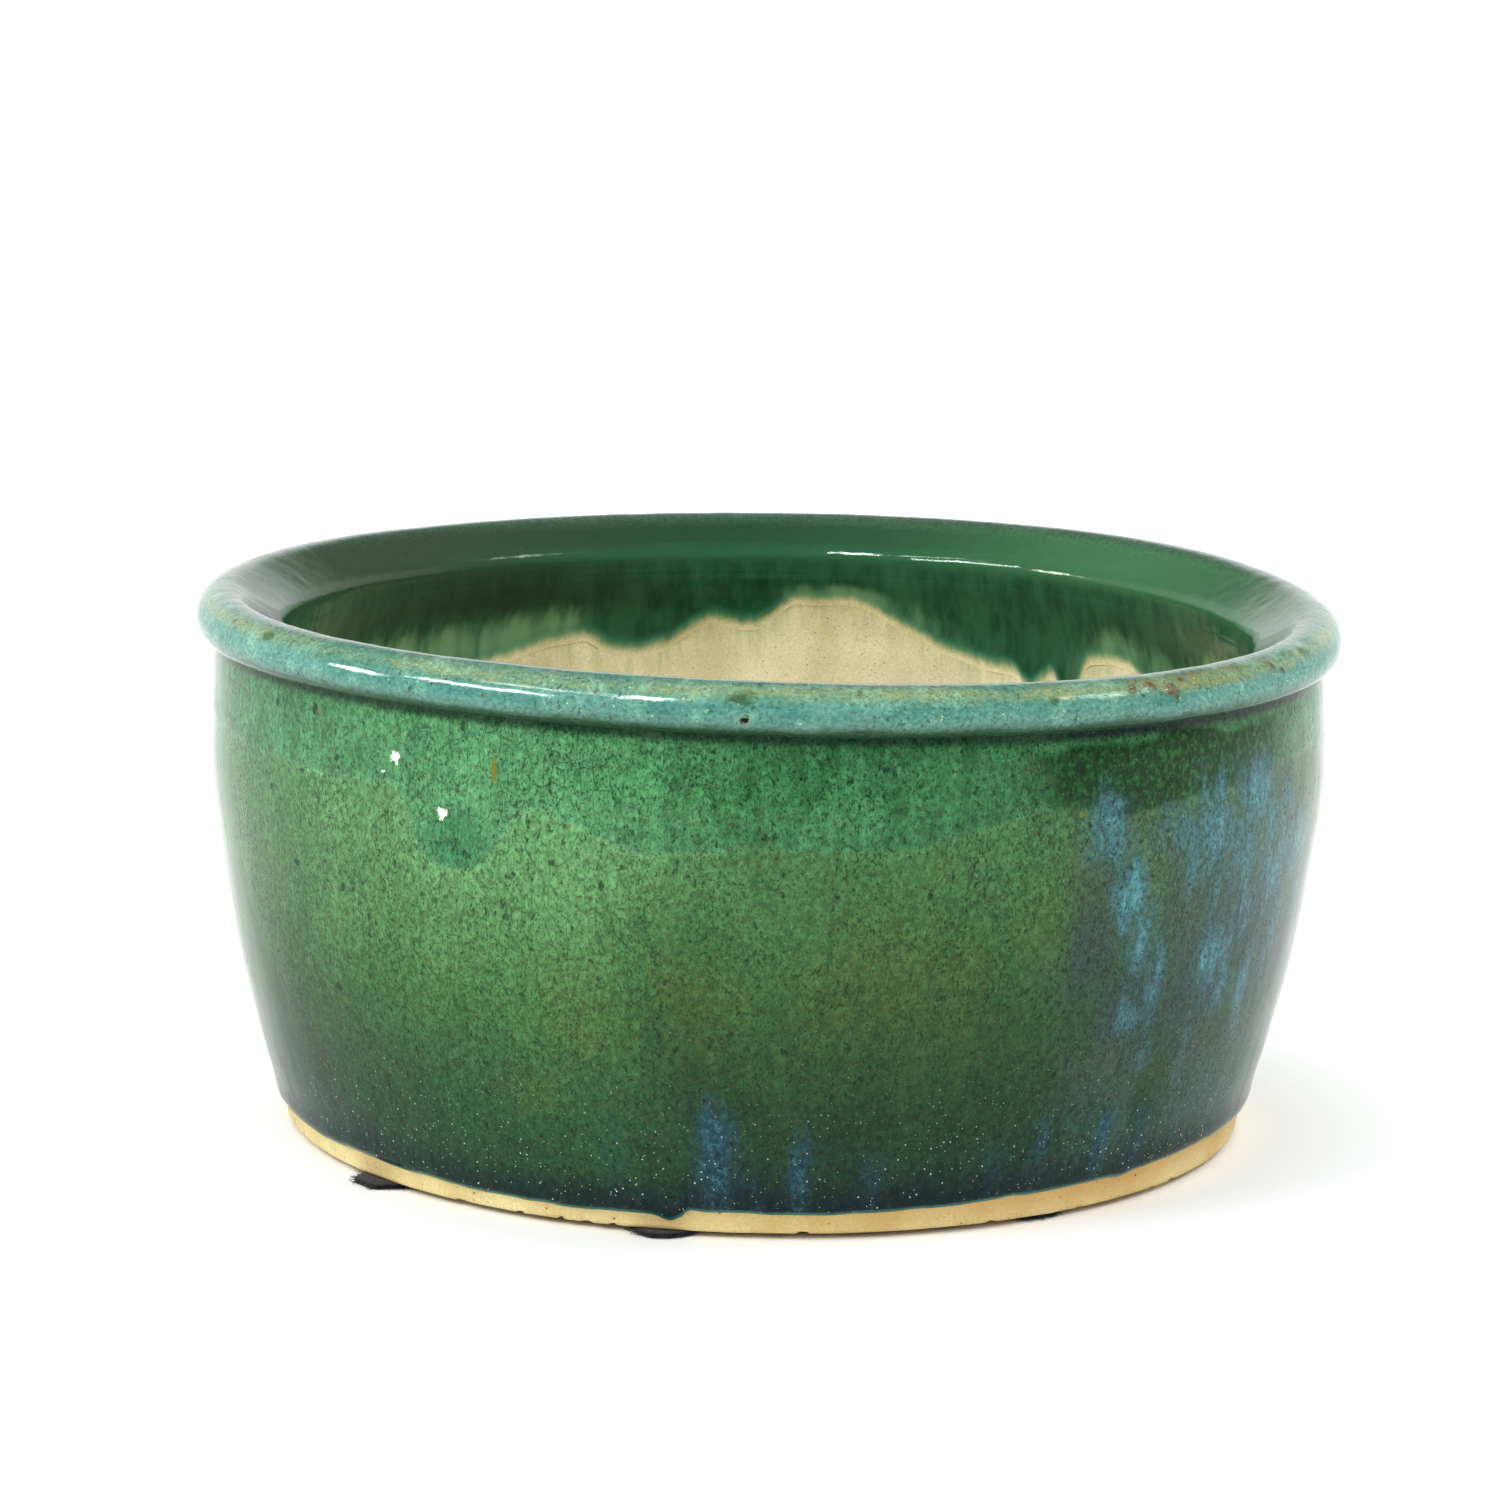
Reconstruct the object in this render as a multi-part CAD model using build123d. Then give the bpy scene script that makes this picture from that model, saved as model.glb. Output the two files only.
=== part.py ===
from build123d import *

import math
import os

# A round, hand-thrown stoneware bonsai pot, about 180 mm across the rolled rim.
# Millimetres, +Z up.  The origin is the centre of the felt pads' underside, on the
# surface that the pot stands on.  -Y is the side that shows the glaze best.

# ---- driving dimensions -------------------------------------------------------
GLAZE = 0.7                 # thickness of the fired glaze coats

PAD_THICKNESS = 0.8
PAD_RADIUS = 5.0
PAD_INSET_RADIUS = 69.5     # where a well-placed pad's centre sits
# Each pad: (bearing in degrees from +X, how far its centre strays outwards).
PADS = (
    (221, 5.0),
    (259, 3.7),
    (304, 1.5),
    (351, 0.0),
    (38, 0.9),
    (84, -0.4),
    (128, 0.5),
    (173, 0.2),
)

FOOT_RADIUS = 76.2          # bare clay, at the very bottom
FOOT_EDGE_ROUND = 0.5
FOOT_RING_INNER_RADIUS = 62.5
FOOT_RECESS = 2.5           # how far the underside is trimmed up inside the foot ring
FOOT_RECESS_ROUND = 1.5
FLOOR_THICKNESS = 7.0
BARE_BAND = 3.3             # unglazed strip of clay above the foot's edge

# The bare clay's outer wall: (height above the foot, radius).
OUTER_WALL = ((11, 79.3), (31, 84.2), (53, 87.1), (64, 87.0))
NECK_RADIUS = 86.2          # where the wall runs up under the rolled rim

RIM_CENTRE = (85.25, 80.0)  # (radius, height) of the roll's section
RIM_ROLL = 4.05
RIM_UNDER_ROLL = 2.1        # the tighter curve that takes its underside back to the neck
LIP_CENTRE = (79.2, 77.7)   # the softer round on the lip's inner edge
LIP_ROLL = 2.8

# The bare clay's inner wall: (height above the floor, radius).
INNER_WALL = ((59, 78.5), (40, 78.1), (16, 74.2))
FLOOR_FLAT_RADIUS = 60.0
INNER_GLAZE_DEPTH = 19.0    # how far the inner coat runs down below the lip
INNER_GLAZE_TOP = 2.2       # where it takes over from the rim's coat, below the lip

DRAIN_HOLE_RADIUS = 10.0
DRAIN_EDGE_ROUND = 1.0

SCREEN_HOLES = 10           # holes along each side
SCREEN_PITCH = 3.5
SCREEN_BAR = 1.0
SCREEN_THICKNESS = 1.2

WIRE_RADIUS = 0.75
WIRE_GAP = 0.06             # keeps the wire just clear of what it holds
WIRE_LEG_X = 2.5 * SCREEN_PITCH
WIRE_Y = 0.5 * SCREEN_PITCH
WIRE_FOOT_X = 16.0
WIRE_BEND = 1.2

CORE_DEPTH = 3.0            # how deep in the clay a coat's outline is closed
TOLERANCE = 1e-4            # when an edge counts as being at a given place

# ---- heights that follow --------------------------------------------------------
FOOT_Z = PAD_THICKNESS
UNDERSIDE_Z = FOOT_Z + FOOT_RECESS
FLOOR_Z = UNDERSIDE_Z + FLOOR_THICKNESS
GLAZE_LINE_Z = FOOT_Z + BARE_BAND
SCREEN_TOP_Z = FLOOR_Z + SCREEN_THICKNESS


def roll_point(centre, radius, bearing):
    """The point of a roll's section at a bearing in degrees from straight outwards."""
    angle = math.radians(bearing)
    return (centre[0] + radius * math.cos(angle), centre[1] + radius * math.sin(angle))


def lip_slope_bearing():
    """The bearing of the straight that touches the tops of both rolls."""
    across = RIM_CENTRE[0] - LIP_CENTRE[0]
    up = RIM_CENTRE[1] - LIP_CENTRE[1]
    lean = math.acos((LIP_ROLL - RIM_ROLL) / math.hypot(across, up))
    return math.degrees(math.atan2(up, across) + lean)


def under_roll_centre():
    """The centre of the tighter curve, which meets the roll at its outermost point."""
    return (RIM_CENTRE[0] + RIM_ROLL - RIM_UNDER_ROLL, RIM_CENTRE[1])


def neck_point(coat):
    """Where the wall meets the underside of the rolled rim, coat thick over the clay."""
    centre = under_roll_centre()
    radius = NECK_RADIUS + coat
    drop = math.sqrt((RIM_UNDER_ROLL + coat) ** 2 - (radius - centre[0]) ** 2)
    return (radius, centre[1] - drop)


def outer_wall(coat, low):
    """The outer wall's line from low up to the neck."""
    between = [(radius + coat, FOOT_Z + height) for height, radius in OUTER_WALL]
    return Spline(low, *between, neck_point(coat))


def rolled_rim(coat):
    """The line from the neck over the rolled rim and down the lip to its inner edge."""
    roll = RIM_ROLL + coat
    lip = LIP_ROLL + coat
    top = lip_slope_bearing()
    outermost = roll_point(RIM_CENTRE, roll, 0)
    under_point = roll_point(under_roll_centre(), RIM_UNDER_ROLL + coat, -45)
    underside = ThreePointArc(neck_point(coat), under_point, outermost)
    bead_point = roll_point(RIM_CENTRE, roll, top / 2)
    bead = ThreePointArc(outermost, bead_point, roll_point(RIM_CENTRE, roll, top))
    slope = Line(bead @ 1, roll_point(LIP_CENTRE, lip, top))
    round_point = roll_point(LIP_CENTRE, lip, (top + 180) / 2)
    edge = ThreePointArc(slope @ 1, round_point, roll_point(LIP_CENTRE, lip, 180))
    return [underside, bead, slope, edge]


def inner_wall(start):
    """The clay's inner wall from the lip's edge down to the flat of the floor."""
    between = [(radius, FLOOR_Z + height) for height, radius in INNER_WALL]
    end = (FLOOR_FLAT_RADIUS, FLOOR_Z)
    return Spline(start, *between, end, tangents=((0, -1), (-1, 0)))


def turned(lines):
    """A solid turned about Z from a closed outline of (radius, height) lines."""
    outline = Plane.XZ * Face(Wire(Curve() + list(lines)))
    return revolve(outline, Axis.Z)


def circular_edges(solid, radius, height):
    """The solid's circular edges of that radius at that height."""
    return [
        edge
        for edge in solid.edges().filter_by(GeomType.CIRCLE)
        if abs(edge.radius - radius) < TOLERANCE
        and abs(edge.center().Z - height) < TOLERANCE
    ]


def clay_body():
    """The fired clay: foot ring, floor with its drain hole, wall and rolled rim."""
    foot_edge = (FOOT_RADIUS, FOOT_Z)
    wall = outer_wall(0, foot_edge)
    rim = rolled_rim(0)
    inside = inner_wall(rim[-1] @ 1)
    underneath = Polyline(
        inside @ 1,
        (DRAIN_HOLE_RADIUS, FLOOR_Z),
        (DRAIN_HOLE_RADIUS, UNDERSIDE_Z),
        (FOOT_RING_INNER_RADIUS, UNDERSIDE_Z),
        (FOOT_RING_INNER_RADIUS, FOOT_Z),
        foot_edge,
    )
    body = turned([wall, *rim, inside, underneath])
    for radius, height, edge_round in (
        (DRAIN_HOLE_RADIUS, FLOOR_Z, DRAIN_EDGE_ROUND),
        (DRAIN_HOLE_RADIUS, UNDERSIDE_Z, DRAIN_EDGE_ROUND),
        (FOOT_RING_INNER_RADIUS, UNDERSIDE_Z, FOOT_RECESS_ROUND),
        (FOOT_RADIUS, FOOT_Z, FOOT_EDGE_ROUND),
    ):
        body = fillet(circular_edges(body, radius, height), edge_round)
    return body


def tube(inner_radius, outer_radius, low, high):
    """A plain tube about Z, used to keep one band of a coat."""
    height = high - low
    middle = Pos(0, 0, low + height / 2)
    ring = middle * Cylinder(outer_radius, height)
    if inner_radius:
        ring -= middle * Cylinder(inner_radius, height)
    return ring


def outer_wall_glaze(clay):
    """The coat on the outside, from above the bare band up to the neck."""
    wall = outer_wall(GLAZE, (FOOT_RADIUS + GLAZE, FOOT_Z))
    neck = wall @ 1
    through_clay = Polyline(
        neck,
        (neck.X - CORE_DEPTH, neck.Y),
        (FOOT_RADIUS - CORE_DEPTH, FOOT_Z),
        wall @ 0,
    )
    coat = turned([wall, through_clay]) - clay
    return coat & tube(0, RIM_CENTRE[0] + RIM_ROLL, GLAZE_LINE_Z, neck.Y)


def rim_and_inner_glaze(clay):
    """The rim's coat and the inner wall's, which meet a little below the lip."""
    rim = rolled_rim(GLAZE)
    between = [(radius - GLAZE, FLOOR_Z + height) for height, radius in INNER_WALL[:2]]
    inside = Spline(rim[-1] @ 1, *between, tangents=((0, -1), (0, -1)))
    low = inside @ 1
    neck = rim[0] @ 0
    through_clay = Polyline(
        low,
        (low.X + CORE_DEPTH, low.Y),
        (neck.X - CORE_DEPTH, neck.Y),
        neck,
    )
    coat = turned([*rim, inside, through_clay]) - clay
    middle = neck.X - CORE_DEPTH
    join = LIP_CENTRE[1] - INNER_GLAZE_TOP
    inner = coat & tube(0, middle, LIP_CENTRE[1] - INNER_GLAZE_DEPTH, join)
    outer = coat - tube(0, middle, FOOT_Z, join)
    return outer, inner


def largest_solid(shape):
    """The one real solid of a boolean's result."""
    return max(shape.solids(), key=lambda solid: solid.volume)


def felt_pad(bearing, stray):
    """One stick-on felt disc under the foot ring."""
    angle = math.radians(bearing)
    reach = PAD_INSET_RADIUS + stray
    place = Pos(reach * math.cos(angle), reach * math.sin(angle), PAD_THICKNESS / 2)
    return place * Cylinder(PAD_RADIUS, PAD_THICKNESS)


def drain_screen():
    """A square of plastic mesh that keeps the soil in above the drain hole."""
    side = SCREEN_HOLES * SCREEN_PITCH + SCREEN_BAR
    hole = SCREEN_PITCH - SCREEN_BAR
    plate = Box(side, side, SCREEN_THICKNESS)
    holes = GridLocations(SCREEN_PITCH, SCREEN_PITCH, SCREEN_HOLES, SCREEN_HOLES)
    plate -= [place * Box(hole, hole, 2 * SCREEN_THICKNESS) for place in holes]
    return Pos(0, 0, FLOOR_Z + SCREEN_THICKNESS / 2) * plate


def screen_clip():
    """A bent wire that holds the screen: over its top, down the drain hole, out under the floor."""
    over = SCREEN_TOP_Z + WIRE_RADIUS + WIRE_GAP
    under = UNDERSIDE_Z - WIRE_RADIUS - WIRE_GAP
    corners = (
        (WIRE_FOOT_X, WIRE_Y, under),
        (WIRE_LEG_X, WIRE_Y, under),
        (WIRE_LEG_X, WIRE_Y, over),
        (-WIRE_LEG_X, WIRE_Y, over),
        (-WIRE_LEG_X, WIRE_Y, under),
        (-WIRE_FOOT_X, WIRE_Y, under),
    )
    path = FilletPolyline(*corners, radius=WIRE_BEND)
    section = Plane(origin=corners[0], z_dir=(-1, 0, 0)) * Circle(WIRE_RADIUS)
    return sweep(section, path=path)


def main():
    os.makedirs("parts", exist_ok=True)
    clay = clay_body()
    rim_coat, inner_coat = rim_and_inner_glaze(clay)
    nodes = {
        "clay_body": clay,
        "outer_wall_glaze": largest_solid(outer_wall_glaze(clay)),
        "rim_glaze": largest_solid(rim_coat),
        "inner_wall_glaze": largest_solid(inner_coat),
        "drain_screen": drain_screen(),
        "screen_clip": screen_clip(),
    }
    for number, (bearing, stray) in enumerate(PADS, start=1):
        nodes[f"felt_pad_{number}"] = felt_pad(bearing, stray)
    for name, shape in nodes.items():
        export_step(shape, f"parts/{name}.step")


main()
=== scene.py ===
import math
import random
from itertools import product

import bpy
import numpy as np
from mathutils import Matrix, Vector

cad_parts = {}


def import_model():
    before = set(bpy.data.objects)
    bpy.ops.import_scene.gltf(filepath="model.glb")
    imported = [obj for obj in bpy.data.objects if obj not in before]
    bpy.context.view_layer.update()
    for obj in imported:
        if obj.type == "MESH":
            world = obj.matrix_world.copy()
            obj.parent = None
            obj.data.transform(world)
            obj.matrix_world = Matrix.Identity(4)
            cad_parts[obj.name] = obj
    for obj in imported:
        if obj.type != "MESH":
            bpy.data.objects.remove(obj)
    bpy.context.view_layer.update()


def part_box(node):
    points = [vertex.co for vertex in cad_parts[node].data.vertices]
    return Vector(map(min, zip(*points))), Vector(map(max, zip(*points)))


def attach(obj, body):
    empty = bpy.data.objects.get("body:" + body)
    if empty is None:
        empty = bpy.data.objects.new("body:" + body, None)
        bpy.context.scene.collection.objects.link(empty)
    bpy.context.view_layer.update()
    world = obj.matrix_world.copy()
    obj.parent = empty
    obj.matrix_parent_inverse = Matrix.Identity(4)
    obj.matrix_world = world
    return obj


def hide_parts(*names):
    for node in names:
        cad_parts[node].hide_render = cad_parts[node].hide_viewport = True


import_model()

# A thrown stoneware bonsai pot.  The section is drawn in millimetres, as (radius, height)
# from the surface that the pot stands on, turned about Z, and then warped a little, as
# a pot comes off a wheel.  Bearings are in degrees from +X, so the front is at 270.

MM = 0.001

# ---- the pot's section -----------------------------------------------------------
FOOT_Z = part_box("felt_pad_1")[1].z / MM
FLOOR_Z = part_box("drain_screen")[0].z / MM
COAT = 0.7                  # the glaze's thickness
OUTER_WALL = ((76.9, 0.8), (80.0, 11.8), (84.9, 31.8), (87.8, 53.8), (87.7, 64.8))
NECK = (86.9, 77.22)                    # the groove between the wall and the roll
UNDER_ROLL = ((87.2, 80.0), 2.8)        # each roll is a centre and a radius
RIM_ROLL = ((85.25, 80.0), 4.75)
LIP_ROLL = ((79.2, 77.7), 3.5)
LIP_SLOPE_BEARING = 122.0               # where the roll gives way to the sloping lip
INNER_WALL = (
    (76.4, 77.7), (76.8, 74.5), (78.0, 70.8), (79.0, 67.0), (79.35, 62.0), (78.6, 53.4), (76.4, 41.9),
    (74.7, 32.0), (74.1, 22.5), (72.2, 15.0), (67.7, 11.4), (60.0, FLOOR_Z),
)
DRAIN_RADIUS = 10.0
UNDERSIDE_Z = 3.3
FOOT_RING_INNER = 62.5
FOOT_RING_OUTER = 75.95
RIM_TOP = 84.75
JOIN_DROP = 2.2             # the rim's and the inner coat meet this far below the lip's centre,
JOIN_LAP = 0.6              # each runs on this far past the meeting,
JOIN_DIVE = 0.12            # and they cross at a shallow angle, this deep
JOIN = LIP_ROLL[0][1] - JOIN_DROP
GLAZE_LINE = 4.1            # usual height of the outer coat's lower edge
BELLY_DEGREE = 1.48         # mm round the wall to a degree, at the belly
FOOT_DEGREE = 1.4           # and low down


# ---- small numeric helpers -------------------------------------------------------
def smoothstep(value, low, high):
    """0 below low, 1 above high, smooth between."""
    t = np.clip((value - low) / (high - low), 0, 1)
    return t * t * (3 - 2 * t)


def bump(distance, width):
    """A bell of height 1 that is about `width` wide to each side."""
    return np.exp(-((distance / width) ** 2))


def turn_from(bearing, centre):
    """Degrees from centre to bearing, between -180 and 180."""
    return (bearing - centre + 180) % 360 - 180


def arc(centre, radius, start, end, count):
    """Points of a circular arc, between two bearings in degrees from straight outwards."""
    angle = np.radians(np.linspace(start, end, count))
    return np.array(centre) + radius * np.stack([np.cos(angle), np.sin(angle)], 1)


def through(points):
    """A smooth line through points, as a Catmull-Rom curve."""
    p = np.array(points, float)
    p = np.vstack([2 * p[0] - p[1], p, 2 * p[-1] - p[-2]])
    t = np.linspace(0, 1, 16, endpoint=False)[:, None]
    spans = []
    for a, b, c, d in zip(p[:-3], p[1:-2], p[2:-1], p[3:]):
        bend = 2 * a - 5 * b + 4 * c - d
        twist = 3 * b - a - 3 * c + d
        spans.append(0.5 * (2 * b + (c - a) * t + bend * t**2 + twist * t**3))
    return np.vstack(spans + [p[-2:-1]])


def lengths(line):
    """Distance along a line at each of its points."""
    return np.concatenate([[0], np.cumsum(np.hypot(*np.diff(line, axis=0).T))])


def at_lengths(line, where):
    """The line's points at given distances along it."""
    along = lengths(line)
    return np.stack([np.interp(where, along, line[:, k]) for k in (0, 1)], -1)


def spaced(line, step):
    """The line's points resampled about `step` apart."""
    total = lengths(line)[-1]
    return at_lengths(line, np.linspace(0, total, max(2, round(total / step) + 1)))


def outward(line):
    """Unit normals, on the right-hand side of the direction of travel."""
    d = np.gradient(line, axis=0)
    d /= np.maximum(np.hypot(d[:, 0], d[:, 1]), 1e-9)[:, None]
    return np.stack([d[:, 1], -d[:, 0]], 1)


def clouds(bearing, height, across, tall, seed, octaves=3):
    """A smooth random field of about -1..1 that closes on itself round the pot.

    Its cells are `across` mm round the wall and `tall` mm up it."""
    girth = 2 * math.pi * 80
    lowest = -80.0
    highest = 180.0
    field = 0.0
    weight = 1.0
    total = 0.0
    for octave in range(octaves):
        source = np.random.default_rng(seed * 31 + octave)
        columns = max(3, round(girth / across))
        rows = 2 + int((highest - lowest) / tall)
        lattice = source.uniform(-1, 1, (rows, columns))
        x = (bearing % 360) / 360 * columns
        y = np.clip((height - lowest) / tall, 0, rows - 1.001)
        x0 = np.floor(x).astype(int)
        y0 = np.floor(y).astype(int)
        fx = smoothstep(x - x0, 0, 1)
        fy = smoothstep(y - y0, 0, 1)
        x1 = (x0 + 1) % columns
        x0 %= columns
        low = lattice[y0, x0] * (1 - fx) + lattice[y0, x1] * fx
        high = lattice[y0 + 1, x0] * (1 - fx) + lattice[y0 + 1, x1] * fx
        field += weight * (low * (1 - fy) + high * fy)
        total += weight
        weight *= 0.55
        across /= 2.1
        tall /= 2.1
    return field / total * 1.6


# ---- how the whole pot is out of true ---------------------------------------------
def warped(bearing, radius, height):
    """The pot's wobble: its rim is a little oval and higher at the left, its belly wider."""
    a = np.radians(bearing)
    rise = np.clip((height - FOOT_Z) / (RIM_TOP - FOOT_Z), 0, 1)
    lift = -0.6 * np.cos(a) + 1.2 * np.sin(a) + 0.5 * np.sin(2 * a) + 0.2 * np.sin(3 * a)
    spread = 0.5 * np.cos(2 * a) - 0.25 * np.cos(3 * a) - 0.6 * np.sin(3 * a)
    shoulder = smoothstep(height, 35, 66) * (1 - smoothstep(height, 72, 78))
    wide = (0.35 * np.cos(a) ** 2 + 0.15 * np.cos(a)) * shoulder * smoothstep(radius, 74, 84)
    return radius + spread * rise**4 + wide, height + lift * rise**2


# ---- mesh building --------------------------------------------------------------
def turned_mesh(name, bearing, radius, height, fields):
    """A closed ring of mesh: rows go round its section, columns round the pot.

    Each of the fields becomes a value on the mesh's points, for its material to read."""
    radius, height = warped(bearing, radius, height)
    rows, columns = radius.shape
    angle = np.radians(bearing)
    points = np.stack([radius * np.cos(angle), radius * np.sin(angle), height], -1) * MM
    index = np.arange(rows * columns).reshape(rows, columns)
    up = np.roll(index, -1, 0)
    quads = np.stack([index, np.roll(index, -1, 1), np.roll(up, -1, 1), up], -1)
    mesh = bpy.data.meshes.new(name)
    mesh.from_pydata(points.reshape(-1, 3).tolist(), [], quads.reshape(-1, 4).tolist())
    for field, values in fields.items():
        layer = mesh.attributes.new(field, "FLOAT", "POINT")
        values = np.broadcast_to(values, radius.shape)
        layer.data.foreach_set("value", values.ravel().astype(np.float32))
    return finished_piece(name, mesh)


def finished_piece(name, mesh, corner=50):
    """Link a mesh into the scene as a piece that rides on the pot, shaded smooth."""
    mesh.validate()
    mesh.update()
    mesh.polygons.foreach_set("use_smooth", [True] * len(mesh.polygons))
    mesh.set_sharp_from_angle(angle=math.radians(corner))
    piece = bpy.data.objects.new(name, mesh)
    bpy.context.scene.collection.objects.link(piece)
    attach(piece, "root")
    return piece


# ---- sections of the pot ------------------------------------------------------------
def rim_section(thinner=0.0):
    """Neck, underside of the roll, roll, sloping lip and its inner edge, thinner by some."""
    neck_bearing = -96.0 - 32 * thinner
    turns = (
        (UNDER_ROLL, neck_bearing, 0, 24),
        (RIM_ROLL, 0, LIP_SLOPE_BEARING, 48),
        (LIP_ROLL, LIP_SLOPE_BEARING, 180, 24),
    )
    under, rim, lip = (
        arc(centre, radius - thinner, start, end, count)
        for (centre, radius), start, end, count in turns
    )
    return np.vstack([under[:-1], rim, lip])


def inner_wall_line(coat=0.0):
    """The inner wall from the lip's edge down to the flat of the floor."""
    line = through(INNER_WALL)
    return line + coat * outward(line)


def outer_wall_line():
    """The glazed outside, from the foot up to the neck."""
    return through(OUTER_WALL + (NECK,))


# ---- where the glaze's features lie ---------------------------------------------------
def glaze_line(bearing):
    """Height of the outer coat's lower edge: it creeps up towards the right, with one step."""
    along = turn_from(bearing, 262)
    creep = 1.7 * smoothstep(along, 10, 75) - 1.2 * smoothstep(along, 110, 200)
    step = -0.9 * smoothstep(-along, -0.4, 0.5) * smoothstep(along, -60, -4)
    drips = -0.35 * clouds(bearing, 0 * bearing, 14, 50, 3)
    nick = -0.9 * bump(turn_from(bearing, 260.2), 1.2)
    tail = -0.5 * bump(turn_from(bearing, 314), 1.5)
    return GLAZE_LINE + creep + step + drips + nick + tail


# The second dip's lower edge, as (bearing, height).
DIP_EDGE = (
    (12, 60), (35, 64), (60, 61), (74, 55), (84, 61), (104, 63), (124, 65), (141, 57), (152, 62),
    (170, 65), (190, 66), (212, 65.4), (225, 64.6), (233, 65.4), (234.6, 57.5), (237, 54.3),
    (241, 54.2), (243.6, 56.5), (245.6, 63.0), (248, 64.6), (252, 62.8), (257, 59.6), (262, 59.0),
    (269, 60.3), (279, 60.5), (284, 60.6), (287, 62.8), (292, 64.0), (296, 65.8), (301, 67.6),
    (306, 66.0), (318, 65.4), (328, 66.5), (340, 67.0),
)


def round_curve(bearing, points, soften=1.0):
    """A value at each bearing from (bearing, value) points, with rounded corners."""
    where, value = np.array(points, float).T
    where = np.concatenate([where - 360, where, where + 360])
    value = np.tile(value, 3)
    spread = np.linspace(-1, 1, 7) * soften
    return sum(np.interp(bearing % 360 + shift, where, value) for shift in spread) / len(spread)


def dip_depth(bearing, height):
    """How far inside the second dip a point is, in mm; negative below its edge."""
    edge = round_curve(bearing, DIP_EDGE) + 0.7 * clouds(bearing, 0 * bearing, 8, 50, 5)
    return height - edge


# Blue in the outer coat: (bearing, height, half width, half height, strength).
BLUE_PATCHES = (
    (304.3, 62.5, 3.4, 5.5, 0.95), (307.3, 52.0, 2.9, 4.5, 1.15), (309.5, 44.0, 2.4, 6.5, 0.95),
    (312.0, 36.5, 1.9, 6.0, 0.8), (308.8, 31.8, 2.4, 2.8, 0.85), (313.5, 60.5, 4.5, 4.0, 0.85),
    (318.5, 59.5, 4.6, 8.0, 0.95), (326.0, 63.5, 5.2, 6.5, 1.05), (329.5, 59.5, 3.4, 7.0, 0.9),
    (320.5, 50.5, 3.4, 8.0, 0.7), (321.5, 38.5, 3.8, 5.5, 1.1), (324.0, 33.0, 3.0, 4.0, 0.8),
    (328.3, 32.0, 2.9, 7.0, 0.85), (331.5, 51.0, 5.0, 8.0, 0.8), (336.5, 53.0, 5.0, 6.0, 0.95),
    (334.5, 41.0, 3.4, 8.0, 0.6), (316.0, 57.0, 4.6, 6.0, 0.7), (324.0, 56.0, 5.0, 8.0, 0.75),
    (326.0, 44.0, 4.6, 6.0, 0.6), (333.0, 61.0, 3.6, 7.0, 0.75), (341.0, 46.0, 5.0, 9.0, 0.6),
    (312.5, 25.0, 2.2, 3.0, 0.4), (319.0, 25.0, 1.8, 6.0, 0.4), (20.0, 52.0, 5.5, 13.0, 0.9),
    (33.0, 36.0, 3.2, 11.0, 0.8), (118.0, 44.0, 4.0, 12.0, 0.8), (127.0, 55.0, 3.0, 8.0, 0.9),
    (165.0, 48.0, 3.0, 9.0, 0.5),
)
# Deep blue drips that end in the foot's dark roll: (bearing, top, half width, strength).
BLUE_DRIPS = (
    (265.4, 25.0, 3.6, 1.1), (270.0, 14.0, 2.4, 0.6), (274.2, 21.0, 2.4, 1.0), (281.8, 17.0, 2.2, 0.75),
    (254.8, 22.0, 3.2, 0.45), (289.0, 13.0, 2.6, 0.3), (295.5, 19.0, 2.8, 0.6), (301.0, 21.0, 2.8, 0.7),
    (309.2, 20.5, 2.0, 1.1), (315.0, 20.0, 2.8, 0.75), (58.0, 24.0, 2.4, 0.9), (97.0, 20.0, 2.8, 0.8),
    (131.0, 18.0, 2.0, 0.7), (160.0, 22.0, 2.4, 0.9),
)


def blue_patches(bearing, height):
    """How strongly the pale blue shows."""
    total = 0 * bearing
    for centre, middle, width, tall, strength in BLUE_PATCHES:
        across = turn_from(bearing, centre) * BELLY_DEGREE
        patch = bump(across, 1.2 * width) * bump(height - middle, 1.15 * tall)
        total = np.maximum(total, strength * patch)
    return total


def blue_drips(bearing, height):
    """How strongly the deep blue drips near the foot show."""
    total = 0 * bearing
    for centre, top, width, strength in BLUE_DRIPS:
        across = turn_from(bearing, centre) * FOOT_DEGREE
        total = np.maximum(total, strength * bump(across, width) * smoothstep(top - height, -3, 9))
    return total


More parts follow.
